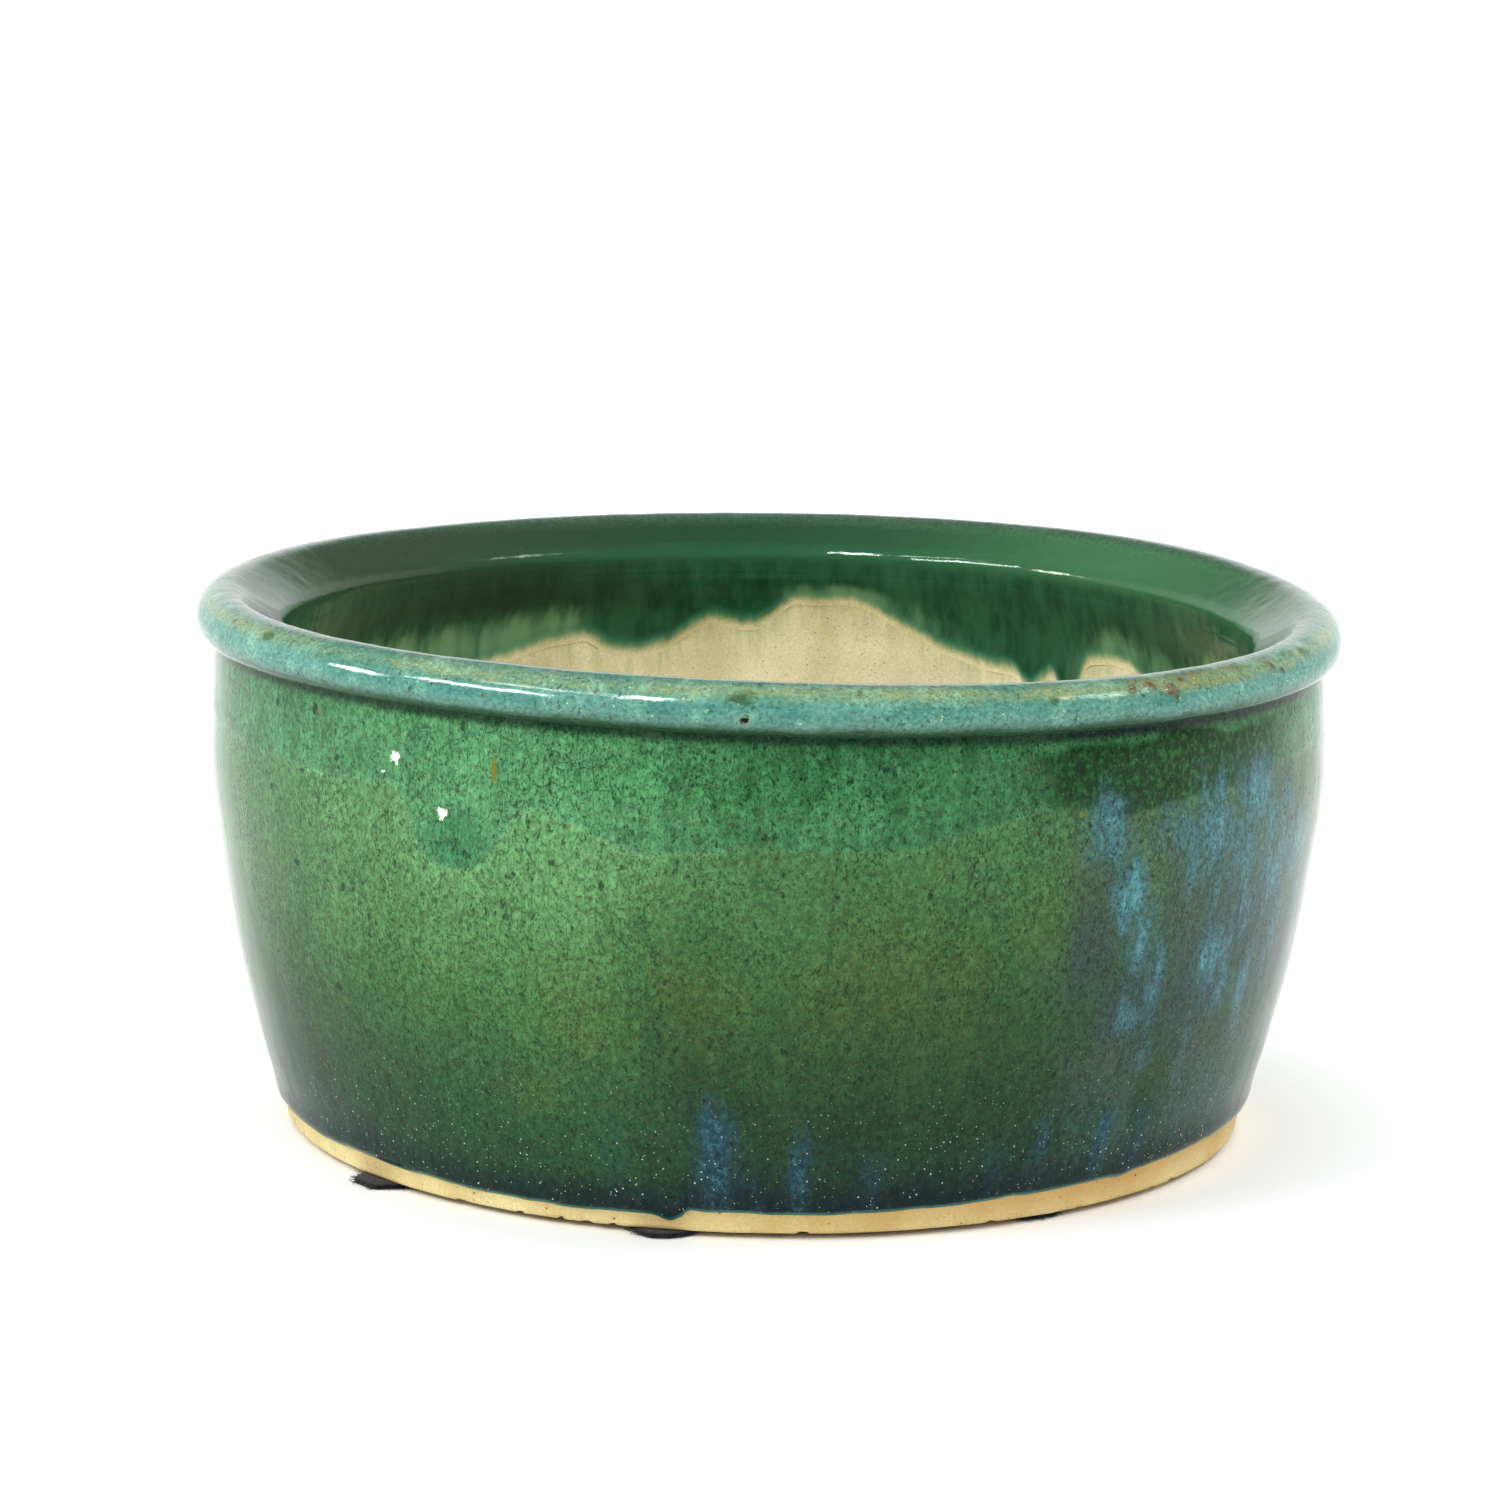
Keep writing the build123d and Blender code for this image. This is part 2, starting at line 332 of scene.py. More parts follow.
# Chips and blots on the outside: (bearing, height, half width, half height).
PALE_CHIPS = ((232.0, 69.5, 0.9, 1.3), (230.4, 66.8, 0.5, 0.6), (237.8, 62.2, 1.1, 1.0))
OCHRE_BLOTS = ((243.4, 69.6, 0.55, 3.0), (221.0, 73.6, 0.5, 0.9), (301.0, 64.8, 0.8, 0.6))
DARK_SPOTS = (
    (213.6, 73.4, 0.7, 1.1), (220.3, 73.9, 0.9, 1.2), (212.8, 60.4, 0.8, 0.8), (224.0, 67.5, 0.8, 0.8),
    (218.5, 64.3, 0.9, 0.7), (217.0, 50.0, 0.9, 1.0), (220.5, 48.5, 0.6, 0.6), (224.6, 48.2, 0.8, 0.9),
    (249.7, 57.0, 0.8, 0.9), (254.6, 54.2, 0.7, 1.1), (245.7, 54.8, 0.6, 0.6), (285.6, 54.0, 0.6, 1.1),
    (265.0, 30.8, 0.7, 0.7), (246.0, 36.5, 0.7, 0.7), (221.9, 32.0, 1.4, 0.9), (238.0, 44.0, 0.5, 0.6),
    (283.5, 33.0, 0.4, 0.5), (277.8, 71.0, 0.7, 0.9), (301.0, 71.5, 0.9, 1.3), (289.0, 66.0, 0.5, 1.0),
    (30.0, 55.0, 0.9, 1.2), (66.0, 40.0, 0.8, 0.8), (110.0, 61.0, 1.0, 1.1), (150.0, 47.0, 0.8, 1.0),
)


def blots(bearing, height, places):
    """1 at the middle of each blot, falling to 0 at its edge and below 0 outside it."""
    radius = 84
    nearest = -4.0 + 0 * bearing
    for centre, middle, width, tall in places:
        across = turn_from(bearing, centre) * math.radians(1) * radius
        nearest = np.maximum(nearest, 1 - np.hypot(across / width, (height - middle) / tall))
    return nearest


# How far below the lip's inner edge the inner coat runs, as (bearing, depth).
INNER_EDGE = (
    (5, 12.5), (12, 13.5), (17, 12.5), (20.5, 12.0), (23.5, 16.0), (29, 18.5), (35, 17.5), (39, 14.2),
    (43, 13.8), (46.5, 14.8), (48, 21.0), (50, 22.0), (51.5, 17.5), (53, 19.5), (55, 21.5), (57, 18.5),
    (62, 17.6), (68, 15.5), (72, 12.6), (76, 9.6), (79.5, 8.0), (84, 8.0), (87, 7.6), (89, 10.5),
    (91.5, 12.8), (94, 12.8), (97.5, 11.4), (100, 13.2), (103, 16.2), (107, 17.2), (111, 16.6),
    (114, 14.4), (118, 14.6), (124, 16.4), (130, 18.2), (140, 19.0), (150, 19.0), (160, 16.0),
    (170, 12.0), (182, 10.0), (196, 14.5), (207, 17.5), (216, 14.0), (224, 8.5), (236, 9.5),
    (245, 16.0), (252, 17.5), (259, 11.0), (268, 8.0), (280, 13.0), (288, 15.5), (300, 18.5),
    (307, 12.0), (322, 10.0), (334, 14.0), (347, 16.5),
)


def inner_edge_depth(bearing):
    """How far below the lip the inner coat runs, at each bearing."""
    ragged = 0.35 * clouds(bearing, 0 * bearing, 5, 50, 17)
    return round_curve(bearing, INNER_EDGE, 0.6) - 0.7 + ragged


# ---- the pieces of the pot --------------------------------------------------------
def grid(rows, columns):
    """The bearing of each point of a ring of mesh, starting straight behind the pot."""
    return np.broadcast_to(90 + np.arange(columns) * 360.0 / columns, (rows, columns))


def outer_wall_glaze():
    """The outer coat: a skin with a rounded, swollen lower edge and the second dip's step."""
    line = outer_wall_line()
    edge_rows = np.array([0.0, 0.03, 0.1, 0.22, 0.4, 0.65, 0.95, 1.3, 1.75])
    top = NECK[1]
    drop = np.concatenate([edge_rows, np.linspace(2.3, top - GLAZE_LINE, 112)])
    back = np.linspace(top - GLAZE_LINE, 0.0, 8)
    bearing = grid(len(drop) + len(back), 768)
    foot = glaze_line(bearing)
    above = np.concatenate([drop, back])[:, None] + 0 * bearing
    height = foot + above * (top - foot) / (top - GLAZE_LINE)
    wall = np.interp(height, line[:, 1], line[:, 0])
    outside = (np.arange(len(above)) < len(drop))[:, None]
    roundness = np.sqrt(np.clip(1 - (1 - np.clip(above / 0.95, 0, 1)) ** 2, 0, 1))
    swell = 0.13 * bump(above - 1.5, 1.1) - 0.08 * bump(above - 5.0, 2.5)
    dip = dip_depth(bearing, height)
    blue = blue_patches(bearing, height)
    drips = blue_drips(bearing, height)
    chip = blots(bearing, height, PALE_CHIPS)
    calm = smoothstep(top - height, 0.0, 2.0)
    relief = (
        0.10 * smoothstep(dip, -0.5, 0.6)
        - 0.10
        + 0.08 * blue
        + 0.14 * drips * smoothstep(above, 0, 3)
        + 0.06 * clouds(bearing, height, 9, 22, 23)
        + 0.025 * np.sin(height / 1.9 + 1.5 * clouds(bearing, height, 120, 30, 29, 2))
        - 0.3 * smoothstep(chip, 0.0, 0.5)
    )
    radius = np.where(
        outside,
        wall - COAT + COAT * roundness + roundness * (swell + calm * relief),
        wall - COAT,
    )
    fields = {
        "rise": above,
        "height": height,
        "dip": dip,
        "gathered": bump(turn_from(bearing, 239.3), 4.2) * bump(height - 58.0, 5.5),
        "blue": blue,
        "drip": drips,
        "chip": chip,
        "ochre": blots(bearing, height, OCHRE_BLOTS),
        "spot": blots(bearing, height, DARK_SPOTS),
        "pale": wall_lightness(bearing, height),
        "olive": olive_patches(bearing, height),
        "murk": murk(bearing, height),
        "deep": deep_green(bearing, height),
        "pool": round_curve(bearing, POOL_ROUND, 4.0),
    }
    piece = turned_mesh("outer_wall_glaze_coat", bearing, radius, height, fields)
    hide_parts("outer_wall_glaze")
    return piece


# Stretches of the outer wall, as (bearing, strength).
PALE_ROUND = (
    (0, 0.3), (25, 0.8), (55, 0.2), (88, 0.9), (118, 0.1), (150, 0.75), (180, 0.2), (203, 0.1),
    (214, 0.25), (224, 0.55), (236, 0.75), (247, 1.0), (254, 0.8), (261, 0.25), (275, 0.08), (300, 0.0),
    (330, 0.2),
)
MURK_ROUND = (
    (0, 0.2), (22, 0.7), (45, 0.1), (100, 0.0), (115, 0.7), (132, 0.6), (145, 0.0), (160, 0.35),
    (175, 0.0), (288, 0.0), (298, 0.3), (306, 0.75), (318, 0.8), (335, 0.9), (348, 0.5),
)
POOL_ROUND = (
    (0, 0.5), (40, 0.9), (90, 0.6), (140, 0.95), (190, 0.5), (212, 0.35), (228, 0.45), (238, 0.8),
    (262, 0.95), (292, 0.95), (304, 0.6), (335, 0.5),
)
DEEP_ROUND = (
    (0, 0.0), (96, 0.0), (106, 1.0), (121, 1.0), (128, 0.0), (293, 0.0), (304, 1.0), (324, 1.0),
    (332, 0.0),
)


def wall_lightness(bearing, height):
    """Where the outer coat is thin and pale: mostly at the left of the front."""
    pale = round_curve(bearing, PALE_ROUND, 4.0)
    return np.clip(pale + 0.22 * clouds(bearing, height, 24, 30, 41), 0, 1)


def olive_patches(bearing, height):
    """Where the outer coat breaks to olive."""
    places = ((251.5, 34, 4.0, 12), (264, 38, 6, 9), (283, 42, 12, 14), (298, 50, 5, 13))
    places += ((246, 22, 6, 5), (55, 40, 12, 14), (90, 34, 9, 12), (178, 36, 8, 12))
    total = 0 * bearing
    for centre, middle, width, tall in places:
        patch = bump(turn_from(bearing, centre), width) * bump(height - middle, tall)
        total = np.maximum(total, patch)
    return np.clip(total + 0.18 * clouds(bearing, height, 10, 14, 43), 0, 1)


def murk(bearing, height):
    """The greyish stretch that carries the blue."""
    veil = round_curve(bearing + 3.0 * clouds(bearing, height, 20, 24, 46), MURK_ROUND, 4.0)
    return np.clip(veil * (1 + 0.5 * clouds(bearing, height, 8, 16, 47)), 0, 1)


def deep_green(bearing, height):
    """The dark green stretch under the rim, above the blue."""
    wander = height + 1.6 * clouds(bearing, height, 6, 8, 49)
    band = smoothstep(wander, 63.8, 67.4) * (1 - smoothstep(wander, 73.5, 77.0))
    return round_curve(bearing + 1.6 * clouds(bearing, height, 9, 5, 50), DEEP_ROUND, 4.0) * band


def rim_glaze():
    """The rim's coat: underside, roll, sloping lip and the top of the inner wall."""
    inner_stub = inner_wall_line(COAT)[1:]
    inner_stub[:, 0] += JOIN_DIVE * smoothstep(JOIN - inner_stub[:, 1], -0.3, JOIN_LAP)
    inner_stub = inner_stub[inner_stub[:, 1] > JOIN - JOIN_LAP]
    front = spaced(np.vstack([rim_section(), inner_stub]), 0.36)
    clay = inner_wall_line()
    clay = clay[clay[:, 1] > JOIN - JOIN_LAP]
    back = spaced(np.vstack([rim_section(COAT), clay[1:]]), 2.4)[::-1]
    line = np.vstack([front, back])
    bearing = grid(len(line), 1080)
    normal = np.vstack([outward(front), np.zeros_like(back)])
    along = np.concatenate([lengths(front), 10 + 0 * back[:, 0]])[:, None] + 0 * bearing
    ends = smoothstep(along, 0.2, 2.0) * smoothstep(lengths(front)[-1] - along, 0.2, 2.0)
    lumps = (
        0.16 * clouds(bearing, along * 2, 55, 30, 53, 2)
        + 0.05 * clouds(bearing, along, 7, 9, 59)
        + 0.014 * clouds(bearing, along, 2.4, 2.8, 61, 2)
    )
    rust = blots(bearing, along, RUST_PLACES)
    pit = blots(bearing, along, ((267.9, 4.6, 0.9, 0.8),))
    shift = ends * (lumps + 0.12 * smoothstep(rust, 0, 0.6) - 0.35 * smoothstep(pit, 0.1, 0.7))
    radius = line[:, :1] + normal[:, :1] * shift
    height = line[:, 1:] + normal[:, 1:] * shift
    fields = {
        "along": along,
        "rust": rust,
        "pit": pit,
        "moss": blots(bearing, along, MOSS_PLACES),
        "straw": straw_band(bearing, along),
        # The sloping lip is painted greyer at the back left and lighter green at the back right
        "greyer_lip_left": 0.75 * bump(turn_from(bearing, 150), 34),
        "lighter_lip_right": 0.75 * bump(turn_from(bearing, 38), 32),
        "scorched": bump(turn_from(bearing, 316), 17) + 0.6 * bump(turn_from(bearing, 110), 30),
        "darker_back_left": darker_back_left_round(bearing),
    }
    piece = turned_mesh("rim_glaze_coat", bearing, radius, height, fields)
    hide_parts("rim_glaze")
    return piece


# Rust-brown scabs on the roll: (bearing, distance from the neck, half width, half height).
RUST_PLACES = (
    (306.0, 8.2, 1.0, 0.9), (308.3, 8.8, 1.5, 1.3), (310.6, 7.7, 1.3, 1.6), (312.4, 9.3, 0.9, 0.8),
    (311.0, 6.9, 0.8, 0.7), (326.6, 8.5, 0.9, 1.3), (328.0, 7.2, 0.6, 0.9), (267.9, 4.6, 0.8, 0.8),
    (243.0, 5.4, 0.5, 0.5), (255.0, 5.6, 0.4, 0.4), (205.0, 9.0, 0.7, 0.7), (278.4, 8.9, 0.6, 0.9),
    (20.0, 8.0, 1.4, 1.1), (95.0, 7.0, 1.0, 1.0), (152.0, 8.6, 1.2, 1.0),
)
MOSS_PLACES = (
    (267.6, 7.6, 2.6, 2.1), (213.5, 8.4, 2.0, 1.4), (297.0, 7.2, 1.6, 1.2), (335.0, 8.8, 2.4, 1.8),
    (60.0, 7.6, 2.8, 1.8), (120.0, 8.2, 2.2, 1.6),
)


def straw_band(bearing, along):
    """The streaky yellowish band along the roll's upper outside."""
    middle = 8.7 + 0.5 * clouds(bearing, 0 * bearing, 40, 50, 67, 2)
    strength = 0.75 + 0.45 * clouds(bearing, 0 * bearing, 11, 50, 71)
    return np.clip(strength * bump(along - middle, 1.5), 0, 1)


INNER_FEATHER = 0.9         # the inner coat's mesh runs this far past its painted edge


def inner_wall_glaze():
    """The inner coat: it hangs in tongues down the inner wall and thins out at its edge."""
    coated = inner_wall_line(COAT)
    start = lengths(coated)[np.searchsorted(-coated[:, 1], -(JOIN + JOIN_LAP))]
    bare = inner_wall_line()
    front_rows = np.linspace(0, 1, 60) ** 0.92
    part = np.concatenate([front_rows, np.linspace(1, 0, 7)])[:, None]
    bearing = grid(len(part), 1200)
    depth = inner_edge_depth(bearing) + INNER_FEATHER
    along = start + part * (depth - start)
    left = depth - along
    outside = (np.arange(len(part)) < len(front_rows))[:, None]
    taper = smoothstep(left, -0.1, 2.6)
    thin = thin_inner_coat(bearing, along)
    body = COAT * (0.12 + 0.88 * taper) * (1 - 0.35 * thin)
    fat_edge = 0.12 * bump(left - 2.6, 1.0) * (1 - thin)
    ripple = 0.05 * clouds(bearing, along, 5, 14, 73)
    flush = COAT - JOIN_DIVE * smoothstep(start + 2 * JOIN_LAP - along, 0, 2 * JOIN_LAP)
    own = smoothstep(along - start, JOIN_LAP, JOIN_LAP + 2.5)
    cover = np.where(outside, flush * (1 - own) + own * (body + fat_edge + ripple), 0.0)
    skin = at_lengths(bare, along)
    normal = at_normals(bare, along)
    radius = skin[..., 0] + cover * normal[..., 0]
    height = skin[..., 1] + cover * normal[..., 1]
    fields = {
        "left": left - INNER_FEATHER,
        "thin": thin,
        "darker_back_left": darker_back_left_round(bearing) * (1 - smoothstep(along, 6, 10)),
    }
    piece = turned_mesh("inner_wall_glaze_coat", bearing, radius, height, fields)
    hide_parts("inner_wall_glaze")
    return piece


def darker_back_left_round(bearing):
    """Where the glaze inside is darker, round the back left."""
    return 0.65 * bump(turn_from(bearing, 130), 24)


def at_normals(line, where):
    """The line's normals at given distances along it."""
    along = lengths(line)
    normal = outward(line)
    return np.stack([np.interp(where, along, normal[:, k]) for k in (0, 1)], -1)


# Where the inner coat is thin, as (bearing, from 0 full to 1 only a stain).
INNER_THIN = (
    (0, 0.4), (14, 0.7), (24, 0.55), (34, 0.5), (40, 0.8), (46, 0.35), (54, 0.0), (60, 0.1), (74, 0.55),
    (80, 0.9), (87, 0.75), (90, 0.1), (97, 0.1), (103, 0.0), (112, 0.0), (117, 0.8), (126, 1.0),
    (140, 0.9), (152, 0.6), (170, 0.3), (210, 0.1), (228, 0.8), (250, 0.0), (268, 0.8), (300, 0.0),
    (320, 0.7),
)


def thin_inner_coat(bearing, along):
    """Where the inner coat is thin and the clay shows through, in the lower half of its drop."""
    thin = round_curve(bearing, INNER_THIN, 1.2)
    lower = smoothstep(along / inner_edge_depth(bearing), 0.35, 0.8)
    return np.clip(thin * lower * (1 + 0.5 * clouds(bearing, along, 3, 20, 79, 2)), 0, 1)


def level_line(start, end, height, step):
    """Points of the section at one height, from one radius to another."""
    return spaced(np.array([[start, height], [end, height]]), step)


def clay_body():
    """The clay: foot ring, bare band, hidden wall, bare inside, floor and drain hole."""
    wall = outer_wall_line() + np.array([-COAT, 0])
    bare_top = 8.5          # finely meshed up to here, past the glaze's edge
    wall_low = wall[(wall[:, 1] > FOOT_Z + 1.2) & (wall[:, 1] < bare_top)]
    wall_high = wall[(wall[:, 1] >= bare_top) & (wall[:, 1] < NECK[1] - 1)]
    foot_round = arc((FOOT_RING_OUTER, FOOT_Z + 0.6), 0.6, -90, -8, 7)
    band = spaced(np.vstack([foot_round, wall_low]), 0.42)
    hidden = np.vstack([spaced(wall_high, 14), spaced(rim_section(COAT), 3.0)])
    inside = inner_wall_line()
    inside = spaced(inside[inside[:, 1] < LIP_ROLL[0][1] - 2.5], 1.5)
    floor = level_line(INNER_WALL[-1][0], DRAIN_RADIUS + 1.2, FLOOR_Z, 2.2)[1:]
    hole_top = arc((DRAIN_RADIUS + 1, FLOOR_Z - 1), 1.0, 90, 180, 5)
    hole_low = arc((DRAIN_RADIUS + 1, UNDERSIDE_Z + 1), 1.0, 180, 270, 5)
    underside = level_line(DRAIN_RADIUS + 2, FOOT_RING_INNER - 2, UNDERSIDE_Z, 3.6)
    recess = arc((FOOT_RING_INNER - 1.5, UNDERSIDE_Z - 1.5), 1.5, 90, 0, 6)
    ring_edge = arc((FOOT_RING_INNER + 0.5, FOOT_Z + 0.5), 0.5, 180, 270, 4)
    ring = level_line(FOOT_RING_INNER + 2, 74.8, FOOT_Z, 1.8)
    parts = [band, hidden, inside, floor, hole_top, hole_low, underside, recess, ring_edge, ring]
    line = np.vstack(parts)
    seen = np.concatenate([np.full(len(p), p is not hidden) for p in parts])[:, None]
    bearing = grid(len(line), 640)
    normal = outward(line)
    radius = line[:, :1] + 0 * bearing
    height = line[:, 1:] + 0 * bearing
    inner = (normal[:, :1] < -0.3) & (height > FLOOR_Z)
    flat = (np.abs(line[:, 1:] - FLOOR_Z) < 0.05) & (line[:, :1] > 14)
    low_edge = bump(height - FOOT_Z, 0.9) * (radius > 74)
    tool_lines = 0.09 * np.sin(height / 0.8 + 1.5 * clouds(bearing, height, 150, 25, 83, 2))
    spiral = 0.3 * np.sin(2 * math.pi * (radius / 6.5 - bearing / 360)) * smoothstep(radius, 14, 24)
    trimming = 0.12 * np.sin(radius * 2.1 + clouds(bearing, radius, 90, 9, 89, 2))
    below = (height < UNDERSIDE_Z + 0.1) & (radius < 62) & (normal[:, 1:] < -0.5)
    nicks = smoothstep(clouds(bearing, height * 6, 3.0, 9, 97, 2), 0.62, 0.95)
    relief = (
        inner * tool_lines
        + flat * spiral * smoothstep(64 - radius, 0, 6)
        + below * trimming
        + 0.04 * clouds(bearing, height + radius, 3, 3, 101, 2)
        - 0.45 * low_edge * nicks
    )
    shift = seen * relief * smoothstep(radius, 13.0, 16.0)
    radius = radius + normal[:, :1] * shift
    height = np.maximum(height + normal[:, 1:] * shift, FOOT_Z - 0.02)
    below_lip = LIP_ROLL[0][1] - height
    fields = {
        "inner": inner * 1.0,
        "to_glaze": np.where(inner, below_lip - inner_edge_depth(bearing), 0),
        "to_outer_glaze": glaze_line(bearing) - height,
        "flush": bump(turn_from(bearing, 312), 40) + 0 * height,
    }
    piece = turned_mesh("clay_body_thrown", bearing, radius, height, fields)
    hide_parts("clay_body")
    return piece


# ---- screen, clip wire and felt pads -----------------------------------------------
def drain_screen():
    """The plastic mesh: moulded bars with rounded edges."""
    low, high = (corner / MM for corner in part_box("drain_screen"))
    holes = 10
    bar = 1.0
    pitch = (high.x - low.x - bar) / holes
    starts = low.x + pitch * np.arange(holes + 1)
    ends = low.x + bar + pitch * np.arange(holes + 1)
    edges = np.sort(np.concatenate([starts, ends]))
    count = len(edges) - 1
    solid = [[not (i % 2 and j % 2) for j in range(count)] for i in range(count)]
    thick = high.z - low.z
    points = []
    faces = []
    index = {}

    def corner(i, j, k):
        key = (i, j, k)
        if key not in index:
            index[key] = len(points)
            points.append((edges[i], edges[j], low.z + k * thick))
        return index[key]

    for i, j in product(range(count), repeat=2):
        if not solid[i][j]:
            continue
        square = ((i, j), (i + 1, j), (i + 1, j + 1), (i, j + 1))
        faces.append([corner(*p, 1) for p in square])
        faces.append([corner(*p, 0) for p in (square[0], square[3], square[2], square[1])])
        beside = ((i, j - 1), (i + 1, j), (i, j + 1), (i - 1, j))
        for (ni, nj), p, q in zip(beside, square, square[1:] + square[:1]):
            if not (0 <= ni < count and 0 <= nj < count and solid[ni][nj]):
                faces.append([corner(*p, 0), corner(*q, 0), corner(*q, 1), corner(*p, 1)])
    mesh = bpy.data.meshes.new("drain_screen_mesh")
    mesh.from_pydata([(x * MM, y * MM, z * MM) for x, y, z in points], [], faces)
    piece = finished_piece("drain_screen_mesh", mesh, 40)
    bevel = piece.modifiers.new("rounded bars", "BEVEL")
    bevel.width = 0.28 * MM
    bevel.segments = 3
    bevel.limit_method = "ANGLE"
    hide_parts("drain_screen")
    return piece


def tube_mesh(path, radii, sides):
    """A closed tube along a path of points, with a radius at each."""
    path = np.array(path, float)
    radii = np.broadcast_to(radii, len(path))
    ahead = np.gradient(path, axis=0)
    ahead /= np.linalg.norm(ahead, axis=1)[:, None]
    side = np.cross(ahead[0], (0.0, 0.0, 1.0))
    if np.linalg.norm(side) < 0.1:
        side = np.cross(ahead[0], (0.0, 1.0, 0.0))
    points = []
    turn = np.linspace(0, 2 * math.pi, sides, endpoint=False)
    for centre, along, radius in zip(path, ahead, radii):
        side = side - along * side.dot(along)
        side /= np.linalg.norm(side)
        other = np.cross(along, side)
        ring = centre + radius * (np.cos(turn)[:, None] * side + np.sin(turn)[:, None] * other)
        points += ring.tolist()
    faces = []
    for i, j in product(range(len(path) - 1), range(sides)):
        k = (j + 1) % sides
        a = i * sides
        faces.append((a + j, a + k, a + sides + k, a + sides + j))
    last = (len(path) - 1) * sides
    faces.append(tuple(range(sides))[::-1])
    faces.append(tuple(last + j for j in range(sides)))
    return points, faces


def screen_clip():
    """The wire: over the screen, down the drain hole and out along the underside."""
    low, high = (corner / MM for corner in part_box("screen_clip"))
    radius = (high.y - low.y) / 2
    y = (high.y + low.y) / 2
    top = high.z - radius
    under = low.z + radius
    leg = 8.75              # from the middle to where the wire goes down
    bend = 1.3              # radius of its four bends
    right = [(high.x, under)]
    right += [tuple(p) for p in arc((leg + bend, under + bend), bend, 270, 180, 9)]
    right += [tuple(p) for p in arc((leg - bend, top - bend), bend, 0, 90, 9)]
    left = [(-x, z) for x, z in right[::-1]]
    over = [(leg * 0.4, top + 0.05), (-leg * 0.4, top - 0.03)]
    flat = spaced(np.array(right + over + left), 0.5)
    hand_bent = 0.12 * np.sin(flat[:, 0] * 0.37)
    path = np.stack([flat[:, 0], y + hand_bent, flat[:, 1]], 1) * MM
    sizes = np.full(len(path), radius * MM)
    sizes[[0, -1]] *= 0.8
    mesh = bpy.data.meshes.new("screen_clip_wire")
    points, faces = tube_mesh(path, sizes, 20)
    mesh.from_pydata(points, [], faces)
    piece = finished_piece("screen_clip_wire", mesh)
    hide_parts("screen_clip")
    return piece


FIBRES = 150                # loose fibres round each pad


def felt_pad(number):
    """A felt disc: a matted, uneven body with loose fibres round its edge."""
    node = f"felt_pad_{number}"
    low, high = (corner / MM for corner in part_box(node))
    middle = (low + high) / 2
    radius = (high.x - low.x) / 2
    thick = high.z - low.z
    source = random.Random(100 + number)
    waves = []
    for _ in range(6):
        waves.append((source.randint(2, 9), source.uniform(0, 6.3), source.uniform(0.05, 0.16)))
    sides = 96
    # Up the disc's outline: shares of its radius and of its thickness.
    levels = ((0.5, 0.0), (0.9, 0.0), (0.985, 0.12), (1.03, 0.5), (0.985, 0.88), (0.9, 1.0), (0.5, 1.0))
    points = []
    faces = []
    for out, up in levels:
        for j in range(sides):
            a = 2 * math.pi * j / sides
            ragged = sum(size * math.sin(n * a + phase) for n, phase, size in waves)
            ragged += source.uniform(-0.09, 0.09)
            r = radius * out + ragged * out
            z = thick * (0.02 + 0.96 * up) + (source.uniform(0, 0.05) if up == 0.0 else 0)
            points.append((middle.x + r * math.cos(a), middle.y + r * math.sin(a), low.z + z))
    last = (len(levels) - 1) * sides
    for a, j in product(range(0, last, sides), range(sides)):
        k = (j + 1) % sides
        faces.append((a + j, a + k, a + sides + k, a + sides + j))
    points.append((middle.x, middle.y, low.z + 0.03 * thick))
    points.append((middle.x, middle.y, low.z + 0.97 * thick))
    for j in range(sides):
        k = (j + 1) % sides
        faces.append((len(points) - 2, k, j))
        faces.append((len(points) - 1, last + j, last + k))
    for _ in range(FIBRES):
        add_fibre(points, faces, source, middle, radius, low.z, thick)
    mesh = bpy.data.meshes.new(f"{node}_felt")
    mesh.from_pydata([(x * MM, y * MM, z * MM) for x, y, z in points], [], faces)
    piece = finished_piece(f"{node}_felt", mesh, 80)
    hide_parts(node)
    return piece


def add_fibre(points, faces, source, middle, radius, floor, thick):
    """Add one loose fibre that curls out of a pad's edge."""
    a = source.uniform(0, 2 * math.pi)
    reach = source.choice((0.5, 0.8, 1.1, 1.6))
    curl = source.uniform(-1.2, 1.2)
    rise = source.uniform(-0.2, 0.35)
    start_z = floor + thick * source.uniform(0.15, 0.85)
    path = []
    for step in range(5):
        t = step / 4
        r = radius - 0.4 + reach * t
        bearing = a + curl * t * t * reach / radius
        z = min(max(start_z + rise * t * t, floor + 0.05), floor + thick)
        path.append((middle.x + r * math.cos(bearing), middle.y + r * math.sin(bearing), z))
    sizes = np.array([0.04, 0.04, 0.035, 0.03, 0.015])
    more, quads = tube_mesh(path, sizes, 4)
    base = len(points)
    faces += [tuple(base + i for i in quad) for quad in quads]
    points += [tuple(p) for p in more]


# ---- materials -----------------------------------------------------------------------
class Value:
    """A number that a node gives; adding to it or multiplying it makes one more node."""

    def __init__(self, graph, socket):
        self.graph = graph
        self.socket = socket

    def __add__(self, other):
        return self.graph.math("ADD", self, other)

    def __sub__(self, number):
        return self + -number

    def __mul__(self, other):
        return self.graph.math("MULTIPLY", self, other)


